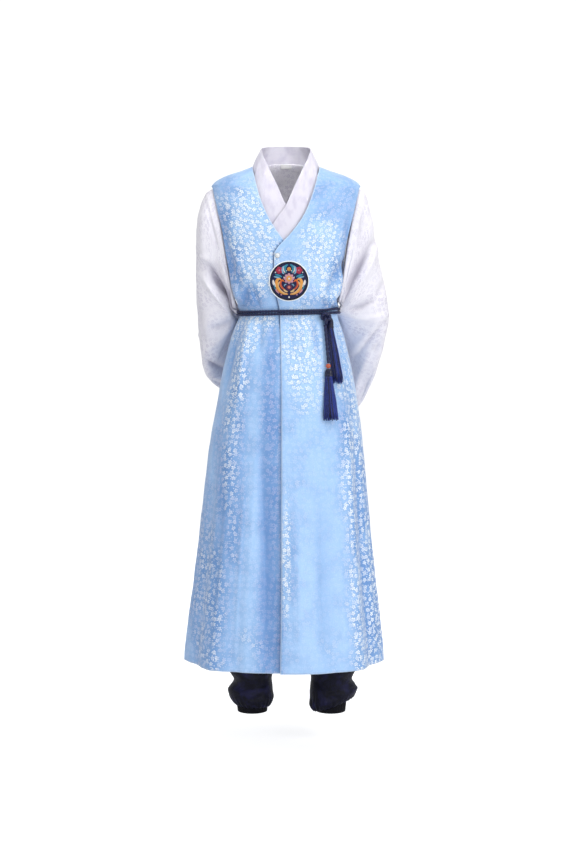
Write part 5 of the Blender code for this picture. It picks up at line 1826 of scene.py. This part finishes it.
def roundel():
    """A navy satin disc with a pale corded rim and a design in raised silk."""
    radius, face = ROUNDEL["radius"], 0.7 + ROUNDEL["thick"]
    turn = np.linspace(0.0, 2 * math.pi, 120, endpoint=False)
    rows = [(share, face) for share in (0.02, 0.2, 0.4, 0.6, 0.8, 0.93)] + [(0.99, face - 0.2), (1.0, 0.5)]
    right, up = radius * np.sin(turn), radius * np.cos(turn)
    rings = np.array([on_roundel(r * right, r * up, out) for r, out in rows])
    corners = grid_corners(len(rows), len(turn), True)
    ids = corners[..., 0] * len(turn) + corners[..., 1] % len(turn)
    ground = add_mesh("roundel_ground", rings, ids.tolist() + [list(range(len(turn)))], navy_satin())
    flat = np.array([[r * math.sin(t), r * math.cos(t)] for r, _ in rows for t in turn]) * radius
    give_flat(ground, np.concatenate([flat[ids].reshape(-1, 2), flat[: len(turn)]]))
    stand_for(ground, "roundel_embroidery", "chest_roundel")
    for name, beyond, out, across, pitch, thread in (
        # name, how far past the disc's edge, how far out, across, pitch, thread
        ("roundel_band", -2.0, -1.2, 4.4, 3.0, "black"),
        ("roundel_rim", 0.9, -0.9, 3.0, 4.0, "pale_rim"),
    ):
        ring = on_roundel((radius + beyond) * np.sin(turn), (radius + beyond) * np.cos(turn), face + out)
        made, _ = rope(name, ring, across, pitch, silk(thread), closed=True)
    for thread, group in roundel_shapes().items():
        points, faces, flat, start = [], [], [], 0
        for places, rise, stitches in group:
            rows, columns = rise.shape
            points.append(on_roundel(places[..., 0], places[..., 1], face - 0.15 + rise).reshape(-1, 3))
            corners = grid_corners(rows, columns, False)[:, ::-1]
            faces += (corners[..., 0] * columns + corners[..., 1] + start).tolist()
            flat.append(stitches[corners[..., 0], corners[..., 1]].reshape(-1, 2))
            start += rows * columns
        made = add_mesh("roundel_" + thread, np.concatenate(points), faces, silk(thread))
        give_flat(made, np.concatenate(flat) * 1000.0)


def camera():
    """At the photograph's angle: level with the waist, a little above, and 4.5 m away."""
    lens = bpy.data.cameras.new("camera")
    lens.lens = 75.0
    lens.sensor_width = 36.0
    lens.clip_end = 60.0
    made = bpy.data.objects.new("camera", lens)
    made.location = (0.005, -4.5, -0.34)
    made.rotation_euler = (math.radians(90.0 - 4.16), 0.0, 0.0)
    bpy.context.scene.collection.objects.link(made)
    bpy.context.scene.camera = made


def softbox(name, place, aim, size, power, spread):
    """A soft lamp of this size in metres, power in watts and spread in degrees, turned to its aim."""
    light = bpy.data.lights.new(name, "AREA")
    light.shape = "RECTANGLE"
    light.size, light.size_y = size
    light.energy = power
    light.spread = math.radians(spread)
    made = bpy.data.objects.new(name, light)
    made.location = place
    made.rotation_euler = (Vector(aim) - Vector(place)).to_track_quat("-Z", "Y").to_euler()
    bpy.context.scene.collection.objects.link(made)


# The studio's soft lamps, in metres, watts and degrees
LAMPS = (
    # name, place, aim, size, power, spread
    ("key", (2.9, -2.7, 1.5), (0.0, 0.0, -0.6), (1.5, 1.5), 42.0, 180.0),
    ("fill", (-3.2, -2.6, 0.6), (0.0, 0.0, -0.7), (2.4, 2.4), 13.0, 180.0),
    ("top", (0.0, -0.9, 2.3), (0.0, 0.0, -0.3), (2.2, 1.4), 33.0, 180.0),
    ("low", (1.3, -2.8, -0.95), (0.1, 0.0, -0.5), (2.0, 0.8), 22.0, 180.0),
    # A weak, narrow one for the inside of the neck, which is in the shade of the collar
    ("neck", (-0.25, -1.45, 0.42), (0.008, 0.05, -0.04), (0.10, 0.10), 0.016, 7.0),
    ("behind", (0.6, 3.2, 0.6), (0.0, 0.0, -0.7), (2.4, 2.4), 26.0, 180.0),
)


def studio():
    """A white room: a pale floor, an even white surround and soft lights."""
    scene = bpy.context.scene
    scene.view_settings.view_transform = "Standard"
    world = bpy.data.worlds.new("white surround")
    world.use_nodes = True
    back = world.node_tree.nodes["Background"]
    back.inputs["Color"].default_value = (1.0, 1.0, 1.0, 1.0)
    back.inputs["Strength"].default_value = 0.58
    bright = put(world.node_tree, "Background", {"Color": (1.0, 1.0, 1.0, 1.0), "Strength": 1.1})
    seen = put(world.node_tree, "LightPath", out="Is Camera Ray")
    both = put(world.node_tree, "MixShader", links={0: seen, 1: back.outputs[0], 2: bright})
    world.node_tree.links.new(both, world.node_tree.nodes["World Output"].inputs["Surface"])
    scene.world = world
    for lamp in LAMPS:
        softbox(*lamp)
    floor = bpy.data.meshes.new("floor")
    reach, level = 14.0, -1.45
    corners = [(x * reach, y * reach, level) for x, y in ((-1, -1), (1, -1), (1, 1), (-1, 1))]
    floor.from_pydata(corners, [], [(0, 1, 2, 3)])
    made = bpy.data.objects.new("floor", floor)
    paper, tree, shader = surface("white studio paper", {
        "Base Color": linear("paper"), "Roughness": 0.9, "Specular IOR Level": 0.1,
        "Emission Color": (1.0, 1.0, 1.0, 1.0),
    })
    seen = put(tree, "LightPath", out="Is Camera Ray")
    glow = put(tree, "Math", {"operation": "MULTIPLY", 1: 0.6}, {0: seen})
    tree.links.new(glow, shader.inputs["Emission Strength"])
    floor.materials.append(paper)
    scene.collection.objects.link(made)


camera()
belt()
belt_ends()
coat()
roundel()
snap()
jacket()
collar()
neck_label()
sleeve("sleeve_right_cloth", RIGHT_SLEEVE, -1, RIGHT_SLEEVE_FOLDS, "sleeve_right")
sleeve("sleeve_left_cloth", LEFT_SLEEVE, 1, LEFT_SLEEVE_FOLDS, "sleeve_left")
trouser_leg("trouser_left_cloth", 1, "trouser_left")
trouser_leg("trouser_right_cloth", -1, "trouser_right")
waist_band()
ankle_band("ankle_left_cloth", 1, "ankle_band_left")
ankle_band("ankle_right_cloth", -1, "ankle_band_right")
studio()
